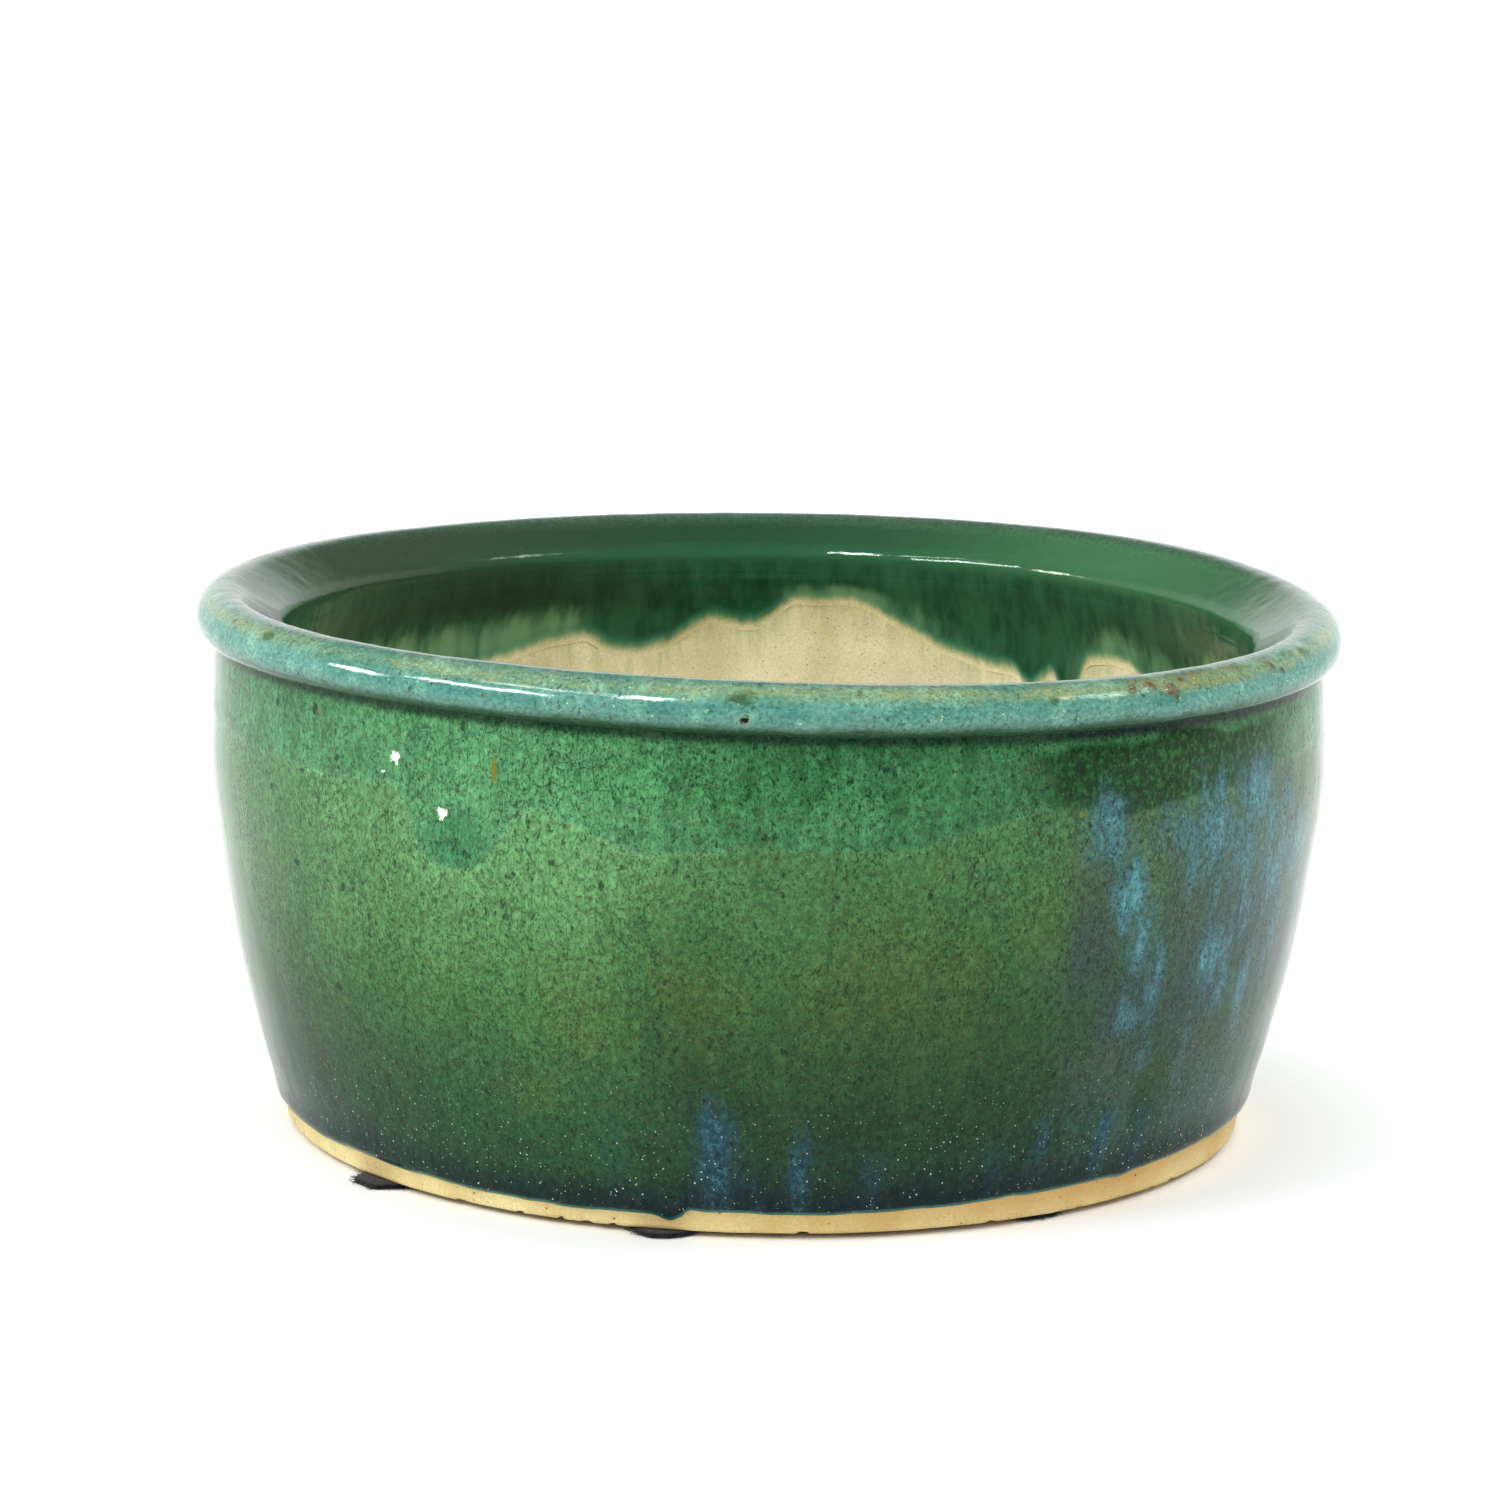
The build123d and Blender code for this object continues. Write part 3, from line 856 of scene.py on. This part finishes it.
class Graph:
    """The nodes of a material or a world, added one call at a time."""

    def __init__(self, name, kind=bpy.data.materials):
        self.owner = kind.new(name)
        self.owner.use_nodes = True
        self.tree = self.owner.node_tree
        self.colour = None
        self.places = {}

    def node(self, kind, inputs, **settings):
        """A new node, with its inputs by name or number."""
        made = self.tree.nodes.new(kind)
        for key, value in settings.items():
            setattr(made, key, value)
        for key, value in inputs.items():
            self.feed(made.inputs[key], value)
        return made

    def number(self, kind, inputs, output=0, **settings):
        """What a new node gives, as a Value."""
        return Value(self, self.node(kind, inputs, **settings).outputs[output])

    def feed(self, socket, value):
        """Link a socket to another one, or set it to a plain value."""
        if isinstance(value, Value):
            value = value.socket
        if isinstance(value, bpy.types.NodeSocket):
            self.tree.links.new(value, socket)
        else:
            socket.default_value = value

    def place(self, stretch=(1, 1, 1)):
        """Position on the object in millimetres, squeezed along each axis by stretch."""
        if stretch not in self.places:
            here = self.node("ShaderNodeTexCoord", {}).outputs["Object"]
            scale = tuple(1000 * s for s in stretch)
            made = self.node("ShaderNodeVectorMath", {0: here, 1: scale}, operation="MULTIPLY")
            self.places[stretch] = made.outputs[0]
        return self.places[stretch]

    def noise(self, size, stretch=(1, 1, 1), detail=3.0, rough=0.55, distort=0.0):
        """Noise of 0..1 whose blobs are about `size` mm across."""
        inputs = {"Vector": self.place(stretch), "Scale": 1 / size, "Detail": detail}
        inputs.update({"Roughness": rough, "Distortion": distort})
        return self.number("ShaderNodeTexNoise", inputs, "Fac")

    def cells(self, size, feature="F1", output="Distance", vector=None):
        """Voronoi cells about `size` mm across."""
        inputs = {"Vector": vector or self.place(), "Scale": 1 / size}
        return self.number("ShaderNodeTexVoronoi", inputs, output, feature=feature)

    def field(self, name):
        """A value kept on the mesh's points."""
        return self.number("ShaderNodeAttribute", {}, "Fac", attribute_name=name)

    def math(self, operation, a, b=0.0):
        """One sum on two numbers."""
        return self.number("ShaderNodeMath", {0: a, 1: b}, operation=operation)

    def ramp(self, value, low, high, to_low=0.0, to_high=1.0):
        """Smoothly from to_low at low to to_high at high."""
        inputs = {"Value": value, "From Min": low, "From Max": high}
        inputs.update({"To Min": to_low, "To Max": to_high})
        return self.number("ShaderNodeMapRange", inputs, interpolation_type="SMOOTHSTEP")

    def ragged(self, name, swing, size, low, high):
        """Where a field of the mesh, made ragged by noise, goes from low to high."""
        return self.ramp(self.field(name) + swing * size, low, high)

    def between(self, amount, a, b):
        """Number a going to number b."""
        return self.number("ShaderNodeMix", {0: amount, 2: a, 3: b})

    def mix(self, amount, a, b):
        """Colour a going to colour b."""
        return self.node("ShaderNodeMix", {0: amount, 6: a, 7: b}, data_type="RGBA").outputs[2]

    def over(self, layer, amount, most=None):
        """Lay a colour, from a node or in hex, over the colour so far, where amount is 1."""
        if most is not None:
            amount = amount * most
        if isinstance(layer, str):
            layer = srgb(layer)
        self.colour = self.mix(amount, self.colour, layer)

    def stops(self, value, *stops):
        """A colour that runs through (value, hex) stops."""
        low, high = stops[0][0], stops[-1][0]
        inputs = {"Value": value, "From Min": low, "From Max": high}
        made = self.node("ShaderNodeValToRGB", {0: self.number("ShaderNodeMapRange", inputs)})
        band = made.color_ramp.elements
        while len(band) < len(stops):
            band.new(0.5)
        for element, (where, text) in zip(band, stops):
            element.position = (where - low) / (high - low)
            element.color = srgb(text)
        return made.outputs[0]

    def lit(self, colour, factor):
        """A colour multiplied by a number."""
        inputs = {0: colour, 3: factor}
        return self.node("ShaderNodeVectorMath", inputs, operation="SCALE").outputs[0]

    def finish(self, roughness, height=None, depth=0.1, **sockets):
        """Wire colour, roughness and a bump of `depth` mm into the shader."""
        shader = self.tree.nodes["Principled BSDF"].inputs
        self.feed(shader["Base Color"], self.colour)
        self.feed(shader["Roughness"], roughness)
        for key, value in sockets.items():
            shader[key.replace("_", " ")].default_value = value
        if height is not None:
            inputs = {"Height": height, "Strength": 1.0, "Distance": depth * MM}
            self.feed(shader["Normal"], self.node("ShaderNodeBump", inputs).outputs[0])
        return self.owner


def srgb(text):
    """A colour from its usual six hex digits, as linear light."""
    parts = [int(text[i:i + 2], 16) / 255 for i in (0, 2, 4)]
    linear = [p / 12.92 if p <= 0.04045 else ((p + 0.055) / 1.055) ** 2.4 for p in parts]
    return (*linear, 1.0)


GLAZE_IOR = 1.5
GLAZE_GLOSS = 0.32
DOWN = (1, 1, 0.3)          # squeezes the height, so that blobs run down the wall


def dark_flecks(g, size, lowest, highest, stretch=(1, 1, 0.7)):
    """Small irregular flecks, thicker in some places than in others."""
    fleck = g.noise(size, stretch, detail=2.0, rough=0.6)
    crowd = g.noise(size * 14, DOWN, detail=2.0)
    return g.ramp(fleck + crowd * 0.22, lowest, highest)


def bright_specks(g, size, share):
    """Tiny round specks in a share of the cells."""
    spot = g.ramp(g.cells(size), 0.17, 0.08)
    pick = g.cells(size, output="Color")
    level = g.node("ShaderNodeSeparateColor", {0: pick}).outputs[0]
    return spot * g.math("LESS_THAN", level, share)


def crazing(g, size):
    """Fine crack lines, mostly upright."""
    wobble = g.noise(2.5, (1, 1, 0.6), detail=2.0)
    offset = g.node("ShaderNodeVectorMath", {0: g.place((1, 1, 0.42)), 1: wobble}, operation="ADD")
    gap = g.cells(size, "DISTANCE_TO_EDGE", vector=offset.outputs[0])
    return g.ramp(gap, 0.035, 0.0)


def outer_glaze_material():
    """Runny green glaze: emerald where dipped twice, pale and olive at the left, blue at the
    right, and pooled nearly black above the bare foot."""
    g = Graph("outer_wall_glaze")
    rise = g.field("rise")
    height = g.field("height")
    streaks = g.noise(3.0, DOWN, detail=4.0, rough=0.62)
    mottle = g.noise(0.9, (1, 1, 0.8), detail=3.0, rough=0.7)
    broad = g.noise(13, (1, 1, 0.5), detail=3.0)
    swing = streaks - 0.5
    shiver = mottle - 0.5
    ragged = swing * 1.6 + shiver * 1.2
    drawn = height + swing * 9.0 + (broad - 0.5) * 14.0

    g.colour = g.stops(
        drawn, (5, "253837"), (12, "2a4637"), (18, "2c4833"), (27, "345434"), (36, "3a5d38"),
        (46, "426840"), (58, "4b734a"), (74, "4e774f"),
    )
    pale = g.stops(
        drawn, (6, "35543c"), (14, "35583b"), (24, "3e6340"), (34, "4b7447"), (44, "568052"),
        (56, "628d5f"), (74, "5f8e62"),
    )
    g.over(pale, g.ragged("pale", swing, 0.7, 0.05, 0.95))
    olive = g.ragged("olive", swing, 1.6, 0.2, 1.1)
    g.over("56693a", olive, 0.36)

    murky = g.ragged("murk", swing, 0.9, 0.2, 0.9)
    murk = g.stops(
        drawn, (6, "35483d"), (15, "3f5d55"), (24, "43574a"), (34, "39504b"), (46, "40544b"),
        (60, "4b6549"), (74, "4b6c4a"),
    )
    g.over(murk, murky)

    inside_dip = g.ramp(g.field("dip") + ragged, -0.4, 0.4)
    dipped = g.mix(g.ramp(streaks, 0.36, 0.66), srgb("376846"), srgb("4e865f"))
    dipped = g.mix(g.field("pale") * 0.5, dipped, srgb("659a73"))
    g.over(dipped, inside_dip, 0.72)
    line = g.ramp(g.math("ABSOLUTE", g.field("dip") + ragged), 0.8, 0.0)
    line_strength = g.ramp(broad + g.field("pale") * 0.2, 0.45, 0.75, 0.06, 0.3)
    g.over("7fa878", line * line_strength)
    gathered = g.ragged("gathered", swing, 0.5, 0.2, 0.9)
    g.over("35714b", gathered * inside_dip, 0.7)

    deep = g.ragged("deep", ragged, 0.4, 0.12, 0.6)
    deep_green = g.mix(g.ramp(mottle, 0.45, 0.68), srgb("1a3f1e"), srgb("2c5c32"))
    g.over(deep_green, deep, 0.94)

    feather = g.noise(1.9, (1, 1, 0.26), detail=5.0, rough=0.72) - 0.5
    blue = g.field("blue") + (feather * 2.0 + (broad - 0.5) * 0.9)
    blue = blue * g.ramp(g.field("blue"), 0.02, 0.22)
    g.over("446a74", g.ramp(blue, 0.05, 0.85), 0.66)
    g.over("54868c", g.ramp(blue, 0.4, 1.3), 0.72)
    g.over("60999b", g.ramp(blue, 0.9, 1.5), 0.45)

    pooled = g.ramp(rise + swing * 4.0, 7.5, 1.0)
    g.over("1c2d35", pooled * g.field("pool"))
    drip = g.ragged("drip", feather, 1.7, 0.2, 1.1)
    drip = drip * g.ramp(g.field("drip"), 0.02, 0.25)
    g.over("305564", drip * g.ramp(rise, 1.0, 7.0, 0.3, 0.9))
    milky = g.ramp(drip, 0.5, 1.0) * g.ramp(mottle, 0.5, 0.65, 0.0, 0.35)
    g.over("547d88", milky)

    # Dark band just under the roll: glaze pooled in the neck groove, with painted shade under the roll
    groove = g.ramp(height + swing * 1.2, 75.3, 76.6)
    g.over(g.mix(murky, srgb("2b4634"), srgb("37323c")), groove, 0.8)

    g.colour = g.lit(g.colour, g.ramp(mottle, 0.28, 0.72, 0.72, 1.38))
    flecks = dark_flecks(g, 0.36, 0.645, 0.755)
    g.over("1c3824", flecks, 0.6)
    rusty = dark_flecks(g, 0.55, 0.69, 0.79)
    g.over("5b4f2c", rusty, 0.42)
    big_flecks = dark_flecks(g, 0.8, 0.735, 0.79)
    g.over("183020", big_flecks, 0.62)
    spots = g.ragged("spot", shiver, 1.3, 0.15, 0.45)
    g.over("163022", spots, 0.75)
    crazed = crazing(g, 2.4) * g.ramp(g.field("pale"), 0.0, 1.0, 0.24, 0.5)
    g.over("21402a", crazed)

    near_foot = g.ramp(rise, 26, 1, 0.14, 1.0)
    specks = g.math("MAXIMUM", bright_specks(g, 0.62, 0.32), bright_specks(g, 0.95, 0.2))
    g.over("d3e6dd", specks * near_foot)

    hem = g.ramp(rise + mottle * 0.5, 1.1, 0.5)
    g.over("4b8b84", hem, 0.7)
    ochre = g.ramp(g.field("ochre") + shiver, 0.1, 0.35)
    g.over("7a7328", ochre, 0.85)
    chipped = g.ragged("chip", shiver, 3.4, 0.25, 0.45)
    g.over("e8eddc", chipped)

    relief = streaks * 0.5 + mottle * 0.15 + big_flecks * -0.4 + specks * 0.2
    rough = g.math("MAXIMUM", g.ramp(mottle, 0.3, 0.7, 0.08, 0.15), chipped * 0.6)
    return g.finish(rough, relief, 0.08, IOR=GLAZE_IOR, Specular_IOR_Level=GLAZE_GLOSS)


def rim_glaze_material():
    """Pale teal on the roll, straw streaks above, dark green over the lip, rusty scabs."""
    g = Graph("rim_glaze")
    along = g.field("along")
    streaks = g.noise(1.5, (0.4, 0.4, 1.3), detail=4.0, rough=0.68)
    mottle = g.noise(0.6, (0.8, 0.8, 1.2), detail=3.0, rough=0.7)
    broad = g.noise(6.0, (0.7, 0.7, 1), detail=3.0)
    swing = streaks - 0.5
    shiver = mottle - 0.5
    rag = swing * 2.6 + (broad - 0.5) * 2.6
    shifted = along + rag * 0.55
    # The first two stops, on the roll's underside by the neck, are dark: glaze pooled in the groove,
    # with painted shade under the roll
    g.colour = g.stops(
        shifted, (1.0, "2a4534"), (2.9, "34553f"), (3.9, "628578"), (5.0, "6d968a"),
        (6.6, "67948a"), (8.2, "769680"), (9.6, "7b937b"), (11.2, "6b8277"), (12.6, "68796f"),
        (14.4, "4c6453"), (17.0, "35513f"), (21.0, "33553f"), (23.4, "3f6d53"), (25.5, "37624b"),
    )
    on_roll = g.ramp(along, 3.0, 5.0) * g.ramp(along, 13.0, 11.0)
    patch = g.ramp(broad + swing * 0.5, 0.38, 0.66)
    g.over("4c8076", on_roll * (patch * 0.55))
    pale = g.ramp(g.noise(4.0, (1, 1, 0.7), detail=4.0), 0.52, 0.68)
    g.over("8cb3a0", on_roll * (pale * 0.45))
    scorched = g.ragged("scorched", rag, 0.5, 0.5, 1.1)
    scorched = scorched * (g.ramp(along, 6.5, 8.0) * g.ramp(along, 11.5, 10.0))
    g.over("8d7038", scorched * g.ramp(mottle, 0.42, 0.6, 0.1, 0.8))
    # Over the lip: greyer at the back left, lighter green at the back right
    over_lip = g.ramp(along, 13.0, 16.0)
    g.over("4c5846", over_lip * g.field("greyer_lip_left"))
    g.over("57825f", over_lip * g.field("lighter_lip_right"))
    straw = g.ragged("straw", swing, 2.2, 0.3, 1.1)
    g.over("959f72", straw, 0.5)
    burnt = g.ramp(straw, 0.55, 1.0) * g.ramp(mottle, 0.54, 0.68)
    g.over("a4854a", burnt, 0.7)
    moss = g.ragged("moss", swing, 1.6, 0.1, 0.7)
    g.over("45623f", moss, 0.7)
    outside = g.ramp(along, 18.0, 13.0)
    speckle = g.ramp(mottle, 0.3, 0.72, 0.8, 1.24) - 1.0
    calmer = outside * 0.8 + 0.2
    g.colour = g.lit(g.colour, speckle * calmer + 1.0)
    flecks = dark_flecks(g, 0.45, 0.69, 0.79, (1, 1, 1)) * outside
    g.over("33564a", flecks, 0.5)
    flecks = dark_flecks(g, 0.9, 0.755, 0.81, (1, 1, 0.6)) * outside
    g.over("44523a", flecks, 0.6)
    runs = g.noise(1.6, (1, 1, 0.16), detail=4.0, rough=0.6)
    inside = emerald(g, runs, g.noise(5.0, (1, 1, 0.4), detail=3.0))
    g.over(inside, g.ramp(along, 23.5, 26.0))
    rust = g.ragged("rust", shiver, 4.0, 0.1, 0.7)
    g.over("664722", rust, 0.85)
    specks = bright_specks(g, 1.1, 0.3) * on_roll
    g.over("d6d7a0", specks, 0.6)
    # The pit on the roll's front is painted near black, as shade in it
    pit = g.ragged("pit", shiver, 0.8, 0.35, 0.6)
    g.over("160f0a", pit)
    relief = streaks * 0.4 + mottle * 0.15 + rust * 0.4
    rough = g.math("MAXIMUM", g.ramp(streaks, 0.35, 0.7, 0.07, 0.14), rust * 0.4)
    return g.finish(rough, relief, 0.07, IOR=GLAZE_IOR, Specular_IOR_Level=GLAZE_GLOSS)


def clay_colour(g, light, dark, grain):
    """Buff clay, uneven in tone and sandy close to."""
    colour = g.mix(g.ramp(g.noise(12, (1, 1, 0.6), detail=3.0), 0.3, 0.7), srgb(dark), srgb(light))
    return g.lit(colour, g.ramp(grain, 0.3, 0.7, 0.91, 1.09))


def emerald(g, streaks, soft):
    """The full-strength green that both inner coats share, so that their join doesn't show."""
    colour = g.mix(g.ramp(streaks, 0.34, 0.66), srgb("2b5640"), srgb("346552"))
    colour = g.mix(g.ramp(soft, 0.42, 0.68, 0.0, 0.5), colour, srgb("43765a"))
    # Darker round the back left of the inside
    return g.mix(g.field("darker_back_left"), colour, srgb("2a3d31"))


def inner_glaze_material():
    """Deep emerald, thinning through teal to bare clay at its hanging edge."""
    g = Graph("inner_wall_glaze")
    streaks = g.noise(1.6, (1, 1, 0.16), detail=4.0, rough=0.6)
    soft = g.noise(5.0, (1, 1, 0.4), detail=3.0)
    swing = streaks - 0.5
    g.colour = emerald(g, streaks, soft)
    thin = g.ragged("thin", swing, 0.5, 0.1, 1.0)
    g.over("7fa585", thin, 0.8)
    left = g.field("left") + swing * 1.6
    teal = g.ramp(left, 3.4, 0.9) * g.ramp(g.field("thin"), 0.9, 0.1, 0.35, 0.9)
    g.over("467f6b", teal)
    g.over("8fb295", g.ramp(left, 2.4, 0.3, 0.0, 0.75))
    clay = clay_colour(g, "e0dcc0", "d2ccac", g.noise(0.4, detail=2.0))
    g.over(clay, g.ramp(left, 1.5, -0.5))
    relief = streaks * 0.4 + soft * 0.3
    bare = g.ramp(left, 0.4, -0.4)
    rough = g.math("MAXIMUM", g.ramp(streaks, 0.3, 0.7, 0.08, 0.16), bare * 0.75)
    return g.finish(rough, relief, 0.10, IOR=GLAZE_IOR, Specular_IOR_Level=GLAZE_GLOSS)


def clay_material():
    """Bare fired stoneware: cream inside, buff to orange at the foot, sandy and pitted."""
    g = Graph("bare_clay")
    grain = g.noise(0.4, detail=3.0, rough=0.7)
    inside = clay_colour(g, "e0dbbf", "d0c9aa", grain)
    foot = clay_colour(g, "dacfa2", "cdb988", grain)
    warm = g.field("flush") * g.ramp(g.field("to_outer_glaze"), 3.4, 0.3, 0.35, 1.0)
    foot = g.mix(warm * 0.65, foot, srgb("c49a62"))
    g.colour = g.mix(g.field("inner"), foot, inside)
    drips = g.noise(1.7, (1, 1, 0.12), detail=3.0)
    stain = g.ramp(g.field("to_glaze"), 7.0, 0.0) * g.ramp(drips, 0.35, 0.7)
    g.over("92aa84", stain * g.field("inner"), 0.42)
    blotch = g.ramp(g.noise(5.0, (1, 1, 0.35), detail=3.0), 0.64, 0.76)
    g.over("b58f5a", blotch, 0.3)
    iron = dark_flecks(g, 0.45, 0.77, 0.83, (1, 1, 1))
    g.over("7a5c38", iron, 0.6)
    # Small pits on the outside clay, painted dark as shade in them
    pits = g.ramp(g.cells(2.2), 0.14, 0.07) * g.ramp(g.noise(4.0), 0.5, 0.6)
    outside = g.ramp(g.field("inner"), 1.0, 0.0)
    g.over("3a2c1c", pits * outside, 0.8)
    relief = grain * 0.6 + pits * -1.0
    return g.finish(0.82, relief, 0.06, Specular_IOR_Level=0.3)


def felt_material():
    """Matted black fibres."""
    g = Graph("black_felt")
    hairs = g.noise(0.22, (1, 0.35, 1), detail=4.0, rough=0.8, distort=1.5)
    clumps = g.noise(0.9, detail=3.0)
    g.colour = g.mix(g.ramp(hairs * (clumps + 0.5), 0.3, 0.75), srgb("0d0c0d"), srgb("2e2b2c"))
    return g.finish(0.95, hairs, 0.15, Specular_IOR_Level=0.2, Sheen_Weight=0.35, Sheen_Roughness=0.5)


def plastic_material():
    """Black moulded plastic, dusty with dried soil."""
    g = Graph("screen_plastic")
    skin = g.noise(0.35, detail=3.0)
    dust = g.ramp(g.noise(3.5, detail=4.0, rough=0.7), 0.48, 0.7)
    g.colour = g.mix(dust * 0.35, srgb("1a1b1a"), srgb("7b6d55"))
    return g.finish(g.ramp(dust, 0.0, 1.0, 0.42, 0.8), skin, 0.03)


def wire_material():
    """Bronze anodised aluminium wire, rubbed brighter in places."""
    g = Graph("aluminium_wire")
    drawn = g.noise(0.3, (0.06, 1, 1), detail=2.0)
    rubbed = g.ramp(g.noise(2.4, detail=3.0), 0.5, 0.68)
    g.colour = g.mix(rubbed * 0.6, srgb("6b5038"), srgb("a98e72"))
    return g.finish(g.ramp(drawn, 0.3, 0.7, 0.28, 0.42), drawn, 0.02, Metallic=1.0)


def paint(piece, material):
    """Give a piece its one material."""
    piece.data.materials.clear()
    piece.data.materials.append(material)


# ---- stage, light and camera -----------------------------------------------------------
ROOM_LIGHT = 0.88           # what lights the pot from all round,
BACKDROP = 0.85             # what its glaze mirrors of the backdrop,
DIM_ROOM = 0.10             # and of the rest of the room


def stage():
    """A plain white floor that fades into a white background."""
    mesh = bpy.data.meshes.new("floor")
    reach = 6.0
    corners = [(x * reach, y * reach, 0) for x, y in ((-1, -1), (1, -1), (1, 1), (-1, 1))]
    mesh.from_pydata(corners, [], [(0, 1, 2, 3)])
    floor = bpy.data.objects.new("floor", mesh)
    bpy.context.scene.collection.objects.link(floor)
    g = Graph("floor")
    g.colour = g.mix(g.noise(400.0), (0.94, 0.94, 0.94, 1), (0.96, 0.96, 0.96, 1))
    paint(floor, g.finish(0.9, Specular_IOR_Level=0.0))


def world():
    """White low down behind the pot and beside it, dim overhead and on the front's side."""
    g = Graph("studio", bpy.data.worlds)
    bpy.context.scene.world = g.owner
    here = g.node("ShaderNodeTexCoord", {}).outputs["Generated"]
    aim = g.node("ShaderNodeSeparateXYZ", {0: here}).outputs
    backdrop = g.ramp(aim["Y"], -0.3, 0.25) * g.ramp(aim["Z"], 0.62, 0.22)
    mirrored = g.ramp(backdrop, 0.0, 1.0, DIM_ROOM, BACKDROP)
    ray = g.node("ShaderNodeLightPath", {}).outputs
    lit = g.between(ray["Is Glossy Ray"], ROOM_LIGHT, mirrored)
    background = g.tree.nodes["Background"].inputs
    g.feed(background["Strength"], g.between(ray["Is Camera Ray"], lit, 1.0))
    g.feed(background["Color"], (1, 1, 1, 1))


def lamp(name, bearing, elevation, distance, width, tall, glow, mirrored, colour=(1, 1, 1)):
    """A rectangular lamp aimed at the rim; it is either only mirrored or only lights."""
    light = bpy.data.lights.new(name, "AREA")
    light.shape = "RECTANGLE"
    light.size = width
    light.size_y = tall
    light.energy = glow * width * tall
    light.color = colour
    lit = bpy.data.objects.new(name, light)
    lit.visible_diffuse = not mirrored
    lit.visible_glossy = mirrored
    a, e = math.radians(bearing), math.radians(elevation)
    aim = Vector((0, 0, 0.06))
    place = aim + distance * Vector((math.cos(a) * math.cos(e), math.sin(a) * math.cos(e), math.sin(e)))
    lit.location = place
    lit.rotation_euler = (aim - place).to_track_quat("-Z", "Y").to_euler()
    bpy.context.scene.collection.objects.link(lit)


def lamps():
    """Fills that only light the pot, and windows that are only mirrored in its glaze."""
    # name, bearing, elevation, distance, width, height, glow, mirrored, colour
    lamp("overhead", 150, 70, 1.3, 0.4, 0.4, 5.6, False)
    lamp("left_fill", 212, 33, 0.9, 0.42, 0.3, 18.0, False)
    lamp("right_fill", 355, 46, 0.9, 0.2, 0.2, 25.0, False)
    lamp("left_window", 212, 31, 0.9, 0.40, 0.075, 110.0, True)
    lamp("left_transom", 217, 47, 0.9, 0.26, 0.05, 50.0, True)
    lamp("side_window", 186, 22, 0.9, 0.17, 0.12, 80.0, True, (1.0, 0.93, 0.8))
    lamp("front_window", 243, 47, 0.9, 0.11, 0.17, 110.0, True)
    lamp("right_window", 355, 46, 0.9, 0.18, 0.16, 110.0, True)


SENSOR = 36.0
FOCAL_RATIO = 3.0513        # focal length over the sensor's width


def camera():
    """A long lens in front of the pot, looking down about ten degrees."""
    rim = 90.0 * MM
    distance, height = 8.0 * rim, 2.105 * rim + FOOT_Z * MM
    pitch, yaw, roll = 0.1809, -0.0039, 0.0172
    level = Vector((math.sin(yaw), math.cos(yaw), 0))
    right = Vector((math.cos(yaw), -math.sin(yaw), 0))
    ahead = math.cos(pitch) * level - math.sin(pitch) * Vector((0, 0, 1))
    up = math.sin(pitch) * level + math.cos(pitch) * Vector((0, 0, 1))
    tilted_right = math.cos(roll) * right + math.sin(roll) * up
    tilted_up = -math.sin(roll) * right + math.cos(roll) * up
    lens = bpy.data.cameras.new("camera")
    lens.sensor_width = SENSOR
    lens.lens = SENSOR * FOCAL_RATIO
    lens.clip_start = 0.01
    seer = bpy.data.objects.new("camera", lens)
    turn = Matrix((tilted_right, tilted_up, -ahead)).transposed()
    seer.matrix_world = Matrix.Translation((0, -distance, height)) @ turn.to_4x4()
    bpy.context.scene.collection.objects.link(seer)
    bpy.context.scene.camera = seer


def build():
    """Every piece in its material, then the studio round them."""
    paint(outer_wall_glaze(), outer_glaze_material())
    paint(rim_glaze(), rim_glaze_material())
    paint(inner_wall_glaze(), inner_glaze_material())
    paint(clay_body(), clay_material())
    paint(drain_screen(), plastic_material())
    paint(screen_clip(), wire_material())
    felt = felt_material()
    for number in range(1, 9):
        paint(felt_pad(number), felt)
    stage()
    world()
    lamps()
    camera()
    bpy.context.scene.view_settings.view_transform = "Standard"
    bpy.context.scene.view_settings.look = "High Contrast"


build()
